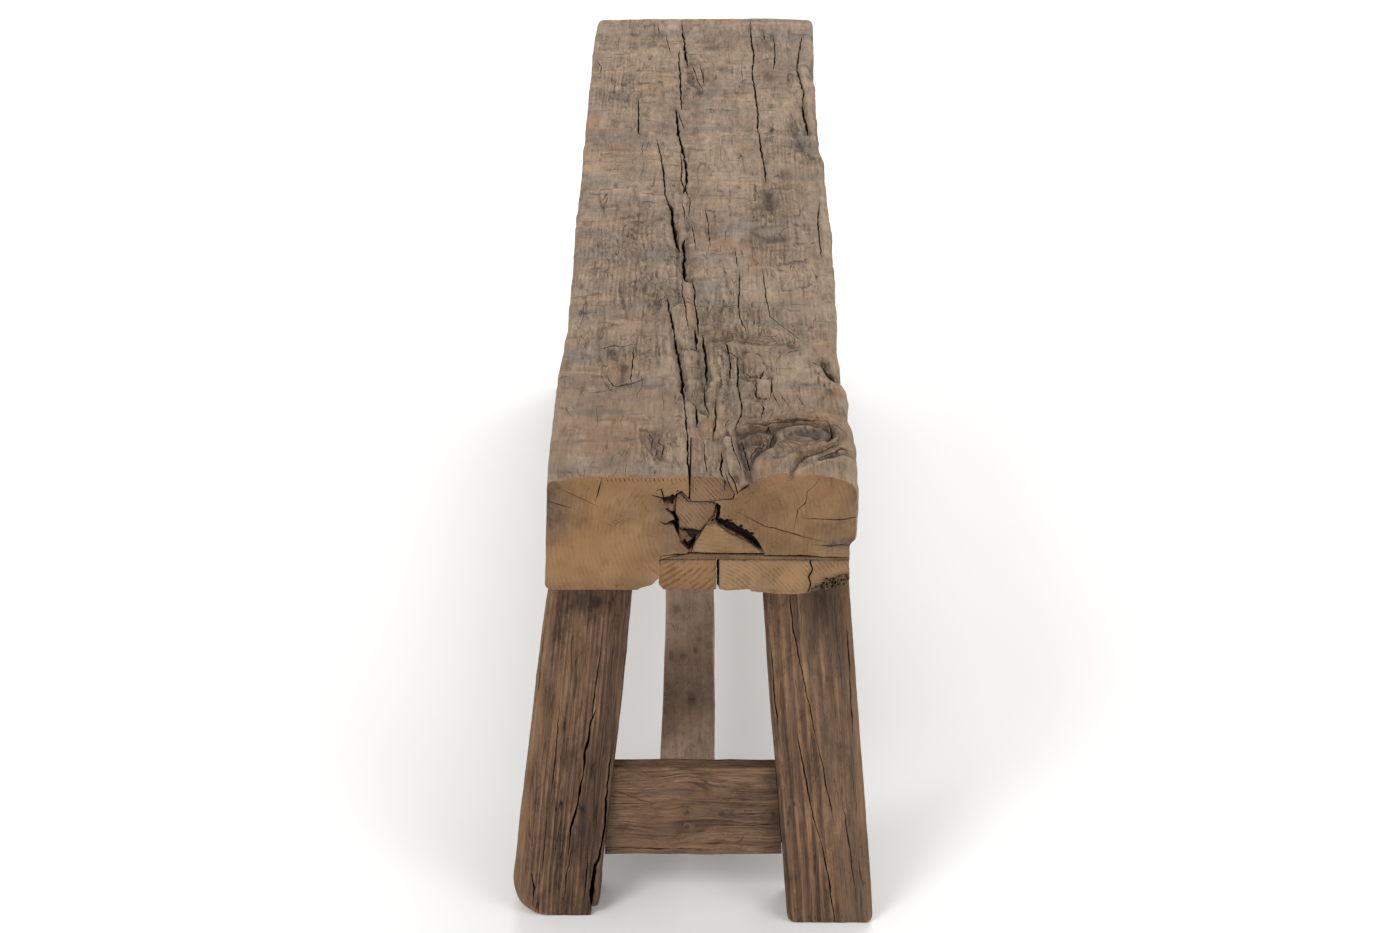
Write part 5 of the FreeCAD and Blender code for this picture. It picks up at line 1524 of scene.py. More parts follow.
def seat_cutters(sizes):
    """Every block that is cut out of the beam: rebate, hollow, trench, mortises and splits."""
    far_side = BEAM_HIGH[1] + 30
    near_side = STRIP_LOW[1] - 0.6
    rebate = ((near_side, 360), (near_side, 409.8), *REBATE_TOP, (far_side, 411.8), (far_side, 360))
    past = NEAR_END + PAST_END
    strip_start, filler_start = STRIP_LOW[0] - 0.3, FILLER_LOW[0] - 1
    cutters = [
        hewn_block("rebate", rebate, strip_start, past, 0.35, 81, 5.0, 8.0),
        hewn_block("notch", NOTCH_OUTLINE, strip_start, past, 0.5, 82),
        hewn_block("hollow", HOLLOW_OUTLINE, NEAR_END - 2.6, past, 0.9, 83, 2.0, 3.0),
        hewn_block("filler_pocket", FILLER_OUTLINE, filler_start, past, 0.0, 85, 3.0, 9.0, None, POCKET_PLAY),
        hewn_block("wedge_pocket", WEDGE_OUTLINE, filler_start, past, 0.0, 86, 3.0, 9.0, None, POCKET_PLAY),
        hewn_block("trench", TRENCH_OUTLINE, INLAY_LOW[0] - 0.5, past, 0.2, 84),
        hewn_block("rot_band", ROT_BAND, NEAR_END - 13, past, 1.0, 87, 1.4, 3.0),
    ]
    for number, outline in enumerate(HEART_CHIPS):
        start = NEAR_END - 6.5 - number % 2
        cutters.append(hewn_block("chip", outline, start, past, 0.7, 89 + number, 1.6, 2.5))
    for row in SEAT_PITS:
        cutters += rotten_pits(*row)
    for leg in LEGS:
        low, high = tenon_box(leg)
        low, high = low - (JOINT_GAP, JOINT_GAP, MORTISE_UNDER), high + (JOINT_GAP, JOINT_GAP, MORTISE_OVER)
        cutters.append(box_block("mortise", low, high))
    for number, (width, depth, way) in enumerate(SPLITS_ON_SEAT):
        cutters.append(split_on_seat(way, width * sizes["split_width"], depth, sizes, number, TORN_ACROSS))
    cutters += splits_on(END_SPLITS, (NEAR_END, 0, 0), (1, 0, 0), 200)
    for number, across in enumerate(np.arange(*KERF_ROW)):
        first, last = KERF_ROWS
        kerf = on_end(((across, first), (across + KERF_LEAN, last + 2 * scatter(number, 1, 0, 7))))
        cutters.append(split_cutter(kerf, (1, 0, 0), KERF_WIDTH, KERF_DEPTH, 240 + number))
    return cutters


def build_seat_beam(sizes, look):
    """The old hewn beam with its splits, its knots and the pockets for the repairs."""
    beam = build_seat_mesh(sizes)
    past = NEAR_END + PAST_END
    shape_with(beam, [hewn_block("corner_loss", CORNER_LOSS, NEAR_END - 210, past, 0.7, 88, 2.6, 5.0)])
    skin = skin_of(beam)
    shape_with(beam, seat_cutters(sizes))
    finish_timber(beam, aged_wood("hewn_beam_wood", look), seat_grain, seat_stain, skin, sawn=seat_sawn)
    dress(beam, "beam_wood", "seat_beam")


# Repairs

def end_grain(across, up):
    """Grain coordinates of a block whose growth rings lie round a far place on its end."""
    def grain(points):
        x, y, z = points.T
        wave = 0.8 * noise(x / 90, y / 20, z / 20, 65)
        return np.column_stack((x, y - across + wave, z - up))
    return grain


def follow_seat_top(sizes):
    """Ring mover that lays the top of the inlay along the seat's own relief."""
    def follow(x, place):
        y, z = place.T
        top = SEAT_TOP + seat_relief(np.full(len(y), x), y, sizes) - 0.3
        share = smooth_step(z, 486, 491)
        return np.column_stack((y, z + share * (np.minimum(top, z + 6) - z)))
    return follow


def edge_dirt(outline, reach, amount):
    """Stain that darkens a block near its outline on the end, where it meets its neighbours."""
    ring = np.array(outline + outline[:1], float)

    def stain(points):
        x, y, z = points.T
        gone = distance_to_way(y, z, ring)
        dirt = amount * np.exp(-((gone / reach) ** 2)) + 0.12 * layered(x / 30, y / 8, z / 8, 76)
        return np.column_stack((dirt, 0.1 + 0.2 * noise(x / 50, y / 15, z / 15, 77), np.zeros(len(x))))
    return stain


def finish_repair(block, slot, node, wood, rings_round, dirt, skin=None):
    """Finish a let-in block. rings_round is the middle of its growth rings on its end."""
    finish_timber(block, wood, end_grain(*rings_round), dirt, skin)
    dress(block, slot, node)


def build_end_repairs(sizes, looks):
    """Inlay in the top, filler and wedge in the hollow heart, all seen on the near end."""
    inlay = hewn_block("top_inlay_block", INLAY_OUTLINE, INLAY_LOW[0], NEAR_END - 0.2, 0.12, 91, 1.6, 4.0,
                       follow_seat_top(sizes), filled=True)
    wood = aged_wood("inlay_wood", looks["inlay"])
    skin = skin_of(inlay)
    grooves = []
    for number, (width, depth, way) in enumerate(SPLITS_ON_SEAT):
        if way[:, 0].max() > INLAY_LOW[0] and way[:, 1].max() > -4 and way[:, 1].min() < 40:
            grooves.append(split_on_seat(way, width, depth, sizes, number))
    shape_with(inlay, grooves)
    dirt = edge_dirt(INLAY_OUTLINE, 1.2, 0.4)
    finish_repair(inlay, "patch_wood", "top_inlay", wood, (-150, 330), dirt, skin)

    start = FILLER_LOW[0]
    filler = hewn_block("core_filler_block", FILLER_OUTLINE, start, NEAR_END - 0.7, 0.35, 92, 1.6,
                        filled=True)
    finish_repair(filler, "patch_wood", "core_filler", wood, (-160, 320), edge_dirt(FILLER_OUTLINE, 1.6, 0.6))
    wedge = hewn_block("core_wedge_block", WEDGE_OUTLINE, start, NEAR_END - 0.4, 0.3, 93, 1.6, filled=True)
    plain = aged_wood("core_wedge_wood", looks["wedge"])
    finish_repair(wedge, "patch_wood", "core_wedge", plain, (40, 560), edge_dirt(WEDGE_OUTLINE, 1.6, 0.35))


# Outline of the packing strip, on the near end in millimetres
STRIP_OUTLINE = pairs(
    -29.6, 409.9, -24, 410.8, -1.6, 414.6, 31.8, 414.2, 66.7, 412.8, 110, 411.6, 147, 410.6, 147.4, 409.6,
    22, 409.7,
)


def rot_dirt(points):
    """Stain of the right board: dark round its rotten corner."""
    x, y, z = points.T
    shares = edge_dirt(RIGHT_PATCH_OUTLINE, 1.6, 0.4)(points)
    near = smooth_step(x, NEAR_END - 40, NEAR_END - 6)
    shares[:, 0] += 1.5 * near * inside_share(y, z, np.array(ROT_OUTLINE), 3.0, 1.5)
    return shares


# How far the right board sags at its near end and how close it comes to the left one, in millimetres
BOARD_SAG = 3.4
BOARD_GAP = 0.3


def close_slot(x, place):
    """Ring mover that draws the right board up to the left one and lets its near end sag a little."""
    across, up = place.T
    slot = RIGHT_PATCH_LOW[1] - LEFT_PATCH_HIGH[1] - BOARD_GAP
    drawn = (1 - smooth_step(x, NEAR_END - 14, NEAR_END - 4)) * slot
    sag = BOARD_SAG * smooth_step(x, NEAR_END - 60, NEAR_END - 14) * np.exp(-(((across - 90) / 32) ** 2))
    seated = (1 - smooth_step(x, NEAR_END - 80, NEAR_END - 30)) * smooth_step(388 - up, 0, 5)
    down = sag * (up < 388) + (up - UNDERSIDE - 0.2) * seated
    return np.column_stack((across - drawn * (across < RIGHT_PATCH_LOW[1] + 1.5), up - down))


# The crack beside the right board's rotten corner, in pixels, with its width and depth in millimetres
BOARD_CRACK = rows_with_ways(
    2,
    (3.2, 60, 812, 556, 810.4, 563, 812.6, 570, 808.4, 577, 809.6, 584, 805.6, 596),
)


def build_underside_repairs(looks):
    """The packing strip and the two boards let in under the near end."""
    start = STRIP_LOW[0]
    strip = hewn_block("packing_strip_board", STRIP_OUTLINE, start, NEAR_END - 0.9, 0.12, 94, 4.0, 8.0)
    shape_with(strip, [node_copy("patch_screws")])
    wood = aged_wood("packing_strip_wood", looks["strip"])
    finish_repair(strip, "strip_wood", "packing_strip", wood, (300, 380), edge_dirt(STRIP_OUTLINE, 1.0, 0.35))

    left = hewn_block("underside_patch_left_board", LEFT_PATCH_OUTLINE, start, NEAR_END - 0.1, 0.3, 95, 2.6,
                      filled=True)
    skin = skin_of(left)
    shape_with(left, [node_copy("patch_screws")])
    wood, dirt = aged_wood("patch_wood", looks["patch"]), edge_dirt(LEFT_PATCH_OUTLINE, 1.4, 0.35)
    finish_repair(left, "patch_wood", "underside_patch_left", wood, (-110, 520), dirt, skin)

    right = hewn_block("underside_patch_right_board", RIGHT_PATCH_OUTLINE, start, NEAR_END, 0.3, 96, 2.6, 6.0,
                       close_slot, filled=True)
    skin = skin_of(right)
    crack = splits_on(BOARD_CRACK, (NEAR_END, 0, 0), (1, 0, 0), 301)
    rot = hewn_block("rot", ROT_OUTLINE, NEAR_END - 3.0, NEAR_END + 8, 1.2, 97, 1.5, 2.6)
    pits = rotten_pits(ROT_OUTLINE, 260, 1.5, (4, 12), 701)
    shape_with(right, [node_copy("patch_screws"), *crack, rot, *pits])
    wood = aged_wood("pale_patch_wood", looks["pale_patch"])
    finish_repair(right, "patch_wood", "underside_patch_right", wood, (-60, 250), rot_dirt, skin)


# Legs

# Height in millimetres over which each foot is worn round, and the power of that curve
FOOT_WEAR = {"near_left": 40.0, "near_right": 10.0, "far_left": 16.0, "far_right": 22.0}
FOOT_CURVE = 2.3
# Rounding of a foot's lowest edge
FOOT_ROUND = 1.4
# Ridges stand out from a timber's packed sides, so these are drawn in by so much, in millimetres.
LEG_SINK = 0.4
BOARD_SINK = 0.3
# A tenon starts so far inside its leg.
TENON_OVERLAP = 20
LEG_SEEDS = {"near_left": 400, "near_right": 430, "far_left": 460, "far_right": 490}
# Middle of each leg's growth rings from its own middle, across and along the bench, in millimetres
LEG_PITHS = {"near_left": (70, 60), "near_right": (-80, 10), "far_left": (50, -70), "far_right": (-60, 60)}


def level_corners(points, height):
    """Lowest and highest (across, along) of a leg's corners at one height."""
    level = points[np.abs(points[:, 2] - height) < 0.3]
    return level[:, [1, 0]].min(axis=0), level[:, [1, 0]].max(axis=0)


def tenon_box(leg):
    """Lowest and highest corner of a leg's tenon."""
    points = node_points(leg + "_leg")
    tenon = points[points[:, 2] > UNDERSIDE + 1]
    return np.array((*tenon.min(axis=0)[:2], UNDERSIDE)), tenon.max(axis=0)


def leg_corners(leg, heights):
    """Lowest and highest (across, along) corner of a leg at each height."""
    points = node_points(leg + "_leg")
    wear = FOOT_WEAR[leg]
    floor, foot, top = (level_corners(points, height) for height in (0.0, wear, UNDERSIDE))
    worn = (1 - (1 - np.clip(heights / wear, 0, 1)[:, None]) ** FOOT_CURVE) ** (1 / FOOT_CURVE)
    rise = np.clip((heights - wear) / (UNDERSIDE - wear), 0, 1)[:, None]
    sides = []
    for corner in (0, 1):
        body = foot[corner] + (top[corner] - foot[corner]) * rise
        rounded = floor[corner] + (foot[corner] - floor[corner]) * worn
        sides.append(np.where(heights[:, None] < wear, rounded, body))
    return sides


def inner_face(leg, heights):
    """Y of the side of a leg that faces the other leg of its pair."""
    low, high = leg_corners(leg, heights)
    return high[:, 0] if "left" in leg else low[:, 0]


def leg_relief(z, across, along, seed, sizes):
    """Ridges of worn grain down a leg, in millimetres."""
    swell = 1.1 * layered(z / 150, across / 60, along / 60, seed, 2)
    swell += sizes["leg_ridges"] * noise(z / 130, across / 6.5, along / 6.5, seed + 4)
    swell += sizes["leg_ridges"] * 0.7 * noise(z / 60, across / 3.2, along / 3.2, seed + 5)
    return swell + 0.25 * noise(z / 12, across / 4, along / 4, seed + 6)


def near_face_points(leg, pixels):
    """Points on a near leg's outer face for pixels of the photograph."""
    heights = np.array((FOOT_WEAR[leg], UNDERSIDE))
    outer = leg_corners(leg, heights)[1][:, 1]
    facing = np.array((heights[1] - heights[0], 0.0, outer[0] - outer[1]))
    facing /= np.linalg.norm(facing)
    return on_plane(pixels, (outer[0], 0, heights[0]), facing), facing


# Pixel at the upper left corner of what the near left foot has lost beside its split
FOOT_LOSS = (590.6, 908.0)


def foot_loss():
    """Block that takes the lost corner off the near left foot."""
    x, y, z = near_face_points("near_left", [FOOT_LOSS])[0][0]
    outline = ((y, -12.0), (y, z), (y + 9, z + 2.0), (y + 34, z + 3.0), (y + 34, -12.0))
    return hewn_block("foot_loss", outline, x - 46, x + 20, 0.8, 98, 2.0, 4.0)


def top_hollow(across, up):
    """A worn hollow under the seat in the near left leg, from 0 to 1."""
    return spot(across, up, -103, 330, 30, 13)


def leg_grain(leg, low, high, z):
    """Run of a leg, and its grain coordinates."""
    slope = (high[-1] + low[-1] - high[6] - low[6]) / 2 / (z[-1] - z[6])
    run = np.array((slope[1], slope[0], 1.0))
    centre = (low[-1] + high[-1]) / 2 - slope * z[-1]
    pith, seed = LEG_PITHS[leg], LEG_SEEDS[leg]
    waver = 0.8 if "right" in leg else 1.5

    def grain(points):
        x, y, up = points.T
        offset = points - run * up[:, None]
        wave = waver * noise(up / 160, x / 40, y / 40, seed + 9)
        across = offset[:, 1] - centre[0] - pith[0] + wave
        return np.column_stack((up + seed * 3.0, across, offset[:, 0] - centre[1] - pith[1]))

    return run, grain


def leg_stain(leg):
    """Dirt, painted shadow under the seat, warm worn edges with a painted highlight, and cool grey of a leg.
    """
    seed = LEG_SEEDS[leg]

    def stain(points):
        x, y, up = points.T
        dirt = 0.3 * layered(up / 60, x / 14, y / 14, seed + 11)
        # Painted shadow under the seat: each leg grows darker towards its top.
        dirt += 0.35 * smooth_step(up, 320, 378) * (0.6 + noise(up / 14, x / 10, y / 10, seed + 12))
        warm = 0.35 * smooth_step(layered(up / 90, x / 9, y / 9, seed + 13), 0.1, 0.7)
        lows, highs = leg_corners(leg, up)
        # Warm worn rim and painted highlight along each leg's outer arris.
        rim_highlight = 1 - smooth_step(y - lows[:, 0] if "left" in leg else highs[:, 0] - y, 3, 13)
        warm = warm + 0.9 * rim_highlight * np.clip(0.7 + 0.6 * noise(up / 40, 0, 0, seed + 14), 0, 1)
        cool = np.zeros(len(x))
        if leg == "near_right":
            beyond = y - (88 + (UNDERSIDE - up) * 0.146)
            cool = 0.5 * smooth_step(beyond, 0, 10) * (0.85 + 0.6 * noise(up / 70, y / 8, x / 8, 14))
            streaks = smooth_step(up, 60, 360) * (0.6 + noise(up / 60, y / 7, 0, 16))
            dirt = dirt + 0.35 * smooth_step(beyond, 2, 12) * streaks + 0.8 * spot(y, up, 124, 335, 9, 34)
        if leg == "near_left":
            # The near left leg is darker beyond its main split, and its worn hollow under the seat is painted
            # dark with dirt and painted shade.
            beyond = y - (-93 + (up - 228) * 0.2)
            speckle = np.clip(0.8 + 0.8 * noise(up / 6, y / 5, x / 5, 15), 0, 1)
            dirt = dirt + 0.5 * smooth_step(beyond, -1, 9) * (x > 690) + 1.2 * top_hollow(y, up) * speckle
        return np.column_stack((dirt, warm, cool))

    return stain


def build_leg(leg, sizes, material):
    """One splayed leg with its tenon, its stretcher mortise and its splits."""
    seed = LEG_SEEDS[leg]
    wear = FOOT_WEAR[leg]
    z = np.concatenate(((0.0, 0.3, 0.8, FOOT_ROUND), spaced(3.5, wear + 8, 2.4, 3.4)[:-1],
                        spaced(wear + 8, UNDERSIDE, 3.6, 3.8)))
    low, high = leg_corners(leg, z)
    ease = FOOT_ROUND - np.sqrt(FOOT_ROUND**2 - np.clip(FOOT_ROUND - z, 0, FOOT_ROUND) ** 2)
    low, high = low + ease[:, None], high - ease[:, None]
    arris = uneven_arris(sizes["leg_arris"], 0.45, z / 40, seed)
    rings, facings = rounded_rings(low, high, arris, (34, 26, 34, 26), 4)
    across, along = rings[..., 0], rings[..., 1]
    height = np.repeat(z[:, None], rings.shape[1], axis=1)
    swell = leg_relief(height, across, along, seed, sizes)
    losses = []
    if leg == "near_left":
        losses = [foot_loss()]
        swell -= 2.6 * top_hollow(across, height) * (1 + 0.7 * noise(across / 7, height / 7, 0, 16))
    swell *= 1 - 0.9 * smooth_step(height, UNDERSIDE - 12, UNDERSIDE)
    place = rings + facings[None] * (swell - LEG_SINK)[..., None]
    timber = lofted(leg + "_post", np.stack((place[..., 1], place[..., 0], height), axis=-1))
    shape_with(timber, losses)
    skin = skin_of(timber)
    tenon_low, tenon_high = tenon_box(leg)
    shape_with(timber, [box_block("tenon", tenon_low - (0, 0, TENON_OVERLAP), tenon_high)], "UNION")
    tongue_low, tongue_high = tongue_box(leg.split("_")[0])
    cutters = [
        node_copy("leg_tenon_wedges"),
        box_block("mortise", tongue_low - JOINT_GAP, tongue_high + JOINT_GAP),
    ]
    for number, (post, width, depth, pixels) in enumerate(LEG_SPLITS):
        if post == leg:
            path, facing = near_face_points(leg, pixels)
            cutters.append(split_cutter(path, facing, width, depth, seed + number))
    cutters.extend(plain_leg_splits(leg, seed))
    shape_with(timber, cutters)
    run, grain = leg_grain(leg, low, high, z)
    finish_timber(timber, material, grain, leg_stain(leg), skin, run, 0.6)
    dress(timber, "leg_wood", leg + "_leg")


# Splits that the photograph doesn't show: first and last level and shift in millimetres of each one
SIDE_SPLITS = ((0, 3, -16.0), (1, 4, 9.0), (0, 2, 20.0))
FACE_SPLITS = ((0, 4, 8.0), (1, 4, -18.0))


def plain_leg_splits(leg, seed):
    """A few drying splits on the sides of a leg that the photograph doesn't show."""
    outward = 1 if "right" in leg else -1
    levels = np.array((FOOT_WEAR[leg] + 30.0, 150.0, 260.0, 350.0))
    lows, highs = leg_corners(leg, levels)
    middle = (lows + highs) / 2
    side = highs[:, 0] if outward > 0 else lows[:, 0]
    cutters = []
    for number, (first, last, shift) in enumerate(SIDE_SPLITS):
        path = np.column_stack((middle[:, 1] + shift, side, levels))[first:last]
        cutters.append(split_cutter(path, (0, outward, 0), 1.6 + 0.5 * number, 12, seed + 20 + number))
    for number, (first, last, shift) in enumerate(FACE_SPLITS if "far" in leg else ()):
        path = np.column_stack((lows[:, 1], middle[:, 0] + shift, levels))[first:last]
        cutters.append(split_cutter(path, (-1, 0, 0), 2.0, 14, seed + 30 + number))
    return cutters


# Stretchers

STRETCHER_SEEDS = {"near": 520, "far": 560}
TONGUE_THICKNESS = 14.0
TONGUE_SHOULDER = 12.0
# Gap between a stretcher's shoulder and the leg, in millimetres
SHOULDER_GAP = 0.3


def tongue_box(end):
    """Lowest and highest corner of the tongue that runs through an end stretcher into both legs."""
    low, high = node_box(end + "_end_stretcher")
    middle, half = (low[0] + high[0]) / 2, TONGUE_THICKNESS / 2
    return (np.array((middle - half, low[1], low[2] + TONGUE_SHOULDER)),
            np.array((middle + half, high[1], high[2] - TONGUE_SHOULDER)))


# Splits and knots on the near end stretcher, as on the legs
END_STRETCHER_SPLITS = rows_with_ways(
    2,
    (1.6, 8, 598, 847.2, 630, 848, 660, 848.6, 700, 849.4),
    (1.3, 7, 722, 826.4, 750, 825.6, 784, 824.6),
    (1.1, 5, 612, 790, 640, 800, 664, 806),
)
END_STRETCHER_KNOTS = pairs(687.5, 812, 688, 827)
KNOT_CORE = 5.0


def stretcher_grain(knots, outer, seed):
    """Grain coordinates of an end stretcher, bent round its knots."""
    def grain(points):
        x, y, z = points.T
        bent = z + 5.0 * noise(y / 60, z / 40, x / 60, seed + 7) + 2.0 * noise(y / 24, z / 14, 0, seed + 8)
        for ky, kz in knots:
            gone = np.hypot((y - ky) / 1.6, z - kz) + 1e-6
            outside, inside = -(z - kz) * (KNOT_CORE / gone) ** 2, kz - z + (KNOT_CORE - gone)
            bent = bent + np.where(gone > KNOT_CORE, outside, inside) * 0.9
        return np.column_stack((y + seed * 2.0, bent - 20.0, x - outer + 45.0))
    return grain


def stretcher_stain(knots, middle, seed):
    """Painted shade of an end stretcher beside the legs, dirt round its knots, and worn warm streaks."""
    def stain(points):
        x, y, z = points.T
        dirt = 0.3 * layered(y / 40, z / 12, x / 20, seed + 11)
        # Painted shade towards the legs at both ends.
        dirt += 0.3 * smooth_step(np.abs(y - middle), 66, 84)
        for ky, kz in knots:
            dirt += 0.9 * spot(y, z, ky - 3, kz + 3, 10, 6)
        warm = 0.4 * smooth_step(layered(y / 50, z / 10, x / 20, seed + 13), 0.1, 0.8)
        return np.column_stack((dirt, warm, np.zeros(len(x))))
    return stain


def build_end_stretcher(end, sizes, material):
    """A plank between the two legs of a pair, with tongues into both."""
    low_box, high_box = node_box(end + "_end_stretcher")
    seed = STRETCHER_SEEDS[end]
    share = np.concatenate(((0.0, 0.006), np.linspace(0.015, 0.985, 58), (0.994, 1.0)))
    ones = np.ones(len(share))
    low, high = np.outer(ones, low_box[[0, 2]]), np.outer(ones, high_box[[0, 2]])
    high[:, 1] += 1.1 * noise(share * 3.1, 0, 0, seed + 1)
    low[:, 1] += 0.8 * noise(share * 4.3, 1, 0, seed + 2)
    arris = uneven_arris(sizes["board_arris"], 0.5, share * 9, seed)
    rings, facings = rounded_rings(low, high, arris, (12, 40, 12, 40), 3)
    x, z = rings[..., 0], rings[..., 1]
    left = inner_face(end + "_left", z.ravel()).reshape(z.shape) + SHOULDER_GAP
    right = inner_face(end + "_right", z.ravel()).reshape(z.shape) - SHOULDER_GAP
    y = left + (right - left) * share[:, None]
    swell = 0.5 * layered(y / 46, z / 30, x / 20, seed + 5, 2)
    swell += sizes["board_ridges"] * noise(y / 40, z / 5, x / 6, seed + 6)
    for _, plug_y, plug_z in plug_centres():
        swell *= smooth_step(np.hypot(y - plug_y, z - plug_z), 4.5, 10)
    place = rings + facings[None] * (swell - BOARD_SINK)[..., None]
    timber = lofted(end + "_end_rail", np.stack((place[..., 0], y, place[..., 1]), axis=-1))
    skin = skin_of(timber)
    shape_with(timber, [box_block("tongue", *tongue_box(end))], "UNION")
    cutters = [node_copy("stretcher_plugs"), node_copy("stretcher_screws")]
    outer = high_box[0] if end == "near" else low_box[0]
    if end == "near":
        cutters += splits_on(END_STRETCHER_SPLITS, (outer, 0, 0), (1, 0, 0), seed + 20)
    shape_with(timber, cutters)
    knots = on_plane(END_STRETCHER_KNOTS, (abs(outer), 0, 0), (1, 0, 0))[:, 1:]
    stain = stretcher_stain(knots, (left.mean() + right.mean()) / 2, seed)
    finish_timber(timber, material, stretcher_grain(knots, outer, seed), stain, skin, (0, 1, 0))
    dress(timber, "stretcher_wood", end + "_end_stretcher")


# Splits, dark spots (place, half length, half width) and the rows of short nicks on the long stretcher's
# top, in pixels and millimetres
LONG_SPLITS = rows_with_ways(
    2,
    (1.3, 5, 663, 620, 668, 621.4, 673, 624, 675.4, 632),
    (1.2, 5, 705, 596, 709, 604, 711, 612),
)
LONG_SPOTS = (
    (676.6, 608, 9, 3), (683, 656, 9, 3), (692.6, 698, 10, 3.2), (695.4, 650, 6, 1.6), (671, 656, 10, 1.8),
)
LONG_NICKS = (672, 677, 683, 688, 694, 699, 706)
LONG_SEED = 600


def long_grain(spots):
    """Grain coordinates of the long stretcher, bent round its dark spots."""
    def grain(points):
        x, y, z = points.T
        bent = y + 3.0 * noise(x / 130, y / 40, z / 40, LONG_SEED + 7)
        for sx, sy, run, width in spots:
            gone = np.hypot((x - sx) * width / run, y - sy) + 1e-6
            bent = bent - (y - sy) * np.minimum(1, (width / gone) ** 2) * 0.8
        return np.column_stack((x + LONG_SEED, bent + 60.0, z - 230.0))
    return grain


def long_stain(spots):
    """Dirt of the long stretcher, with its dark spots."""
    def stain(points):
        x, y, z = points.T
        dirt = 0.25 * layered(x / 70, y / 14, z / 14, LONG_SEED + 11)
        for sx, sy, run, width in spots:
            gone = ((x - sx) / run) ** 2 + ((y - sy) / width) ** 2
            dirt += 1.5 * np.exp(-gone) + 0.3 * np.exp(-gone / 9)
        warm = 0.2 * noise(x / 80, y / 20, z / 20, LONG_SEED + 12)
        return np.column_stack((dirt, warm, np.full(len(x), 0.25)))
    return stain


def build_long_stretcher(sizes, material):
    """The long board on edge between the two end stretchers."""
    x = np.concatenate(((LONG_LOW[0], LONG_LOW[0] + 0.8), np.linspace(LONG_LOW[0] + 6, LONG_HIGH[0] - 6, 210),
                        (LONG_HIGH[0] - 0.8, LONG_HIGH[0])))
    ones = np.ones(len(x))
    low, high = np.outer(ones, LONG_LOW[1:]), np.outer(ones, LONG_HIGH[1:])
    low[:, 0] += 0.9 * noise(x / 120, 0, 0, LONG_SEED)
    high[:, 0] += 0.9 * noise(x / 110, 1, 0, LONG_SEED)
    high[:, 1] += 0.8 * noise(x / 160, 2, 0, LONG_SEED) - 0.4
    arris = uneven_arris(sizes["board_arris"], 0.5, x / 60, LONG_SEED)
    rings, facings = rounded_rings(low, high, arris, (22, 28, 16, 28), 3)
    along = np.repeat(x[:, None], rings.shape[1], axis=1)
    swell = 0.4 * layered(along / 130, rings[..., 0] / 30, rings[..., 1] / 30, LONG_SEED + 5, 2)
    swell += sizes["board_ridges"] * noise(along / 60, rings[..., 0] / 5, rings[..., 1] / 5, LONG_SEED + 6)
    place = rings + facings[None] * (swell - BOARD_SINK)[..., None]
    timber = lofted("long_rail", np.concatenate((along[..., None], place), axis=-1))
    skin = skin_of(timber)
    level, up = (0, 0, LONG_HIGH[2]), (0, 0, 1)
    nicks = [(1.6, 2.5, ((661, row), (666 + number % 3 * 2, row + 1.4)))
             for number, row in enumerate(LONG_NICKS)]
    shape_with(timber, [node_copy("stretcher_screws"), *splits_on(LONG_SPLITS, level, up, LONG_SEED + 20),
                        *splits_on(nicks, level, up, LONG_SEED + 40)])
    spots = [(*on_plane([row[:2]], level, up)[0, :2], *row[2:]) for row in LONG_SPOTS]
    finish_timber(timber, material, long_grain(spots), long_stain(spots), skin)
    dress(timber, "stretcher_wood", "long_stretcher")


# Plugs, made as one turned plug on each screw hole

# Named settings of the plugs, with their usual values in metres
PLUG_SETTINGS = (("Radius", 0.005), ("Length", 0.005), ("Dish", 0.0004))
# How much smaller a plug is than its hole, in millimetres: in radius and in length
PLUG_EASE = 0.15
PLUG_SINK = 0.3


def plug_tree(material):
    """Geometry nodes that set one plug, lying along X, on every point."""
    tree = bpy.data.node_groups.new("plugs_on_points", "GeometryNodeTree")
    face = tree.interface
    face.new_socket("Geometry", in_out="INPUT", socket_type="NodeSocketGeometry")
    for name, default in PLUG_SETTINGS:
        face.new_socket(name, in_out="INPUT", socket_type="NodeSocketFloat").default_value = default
    face.new_socket("Geometry", in_out="OUTPUT", socket_type="NodeSocketGeometry")
    node = Wires(tree).node
    given = node("NodeGroupInput").outputs
    body = node("GeometryNodeMeshCylinder", {
        "Vertices": 28, "Side Segments": 4, "Fill Segments": 5,
        "Radius": given["Radius"], "Depth": given["Length"],
    })
    place = node("GeometryNodeInputPosition").outputs[0]
    wander = node("ShaderNodeTexNoise", {"Vector": place, "Scale": 420.0, "Detail": 2.0}).outputs["Color"]
    centred = node("ShaderNodeVectorMath", {0: wander, 1: (0.5, 0.5, 0.5)}, operation="SUBTRACT").outputs[0]
    sized = node("ShaderNodeVectorMath", {0: centred, "Scale": given["Dish"]}, operation="SCALE").outputs[0]
    moved = node("GeometryNodeSetPosition", {"Geometry": body.outputs["Mesh"], "Offset": sized})
    spread = node("GeometryNodeInstanceOnPoints", {
        "Points": given["Geometry"], "Instance": moved.outputs[0], "Rotation": (0.0, math.pi / 2, 0.0),
    })
    real = node("GeometryNodeRealizeInstances", {"Geometry": spread.outputs[0]})
    finish = node("GeometryNodeSetMaterial", {"Geometry": real.outputs[0], "Material": material})
    node("NodeGroupOutput", {"Geometry": finish.outputs[0]})
    return tree


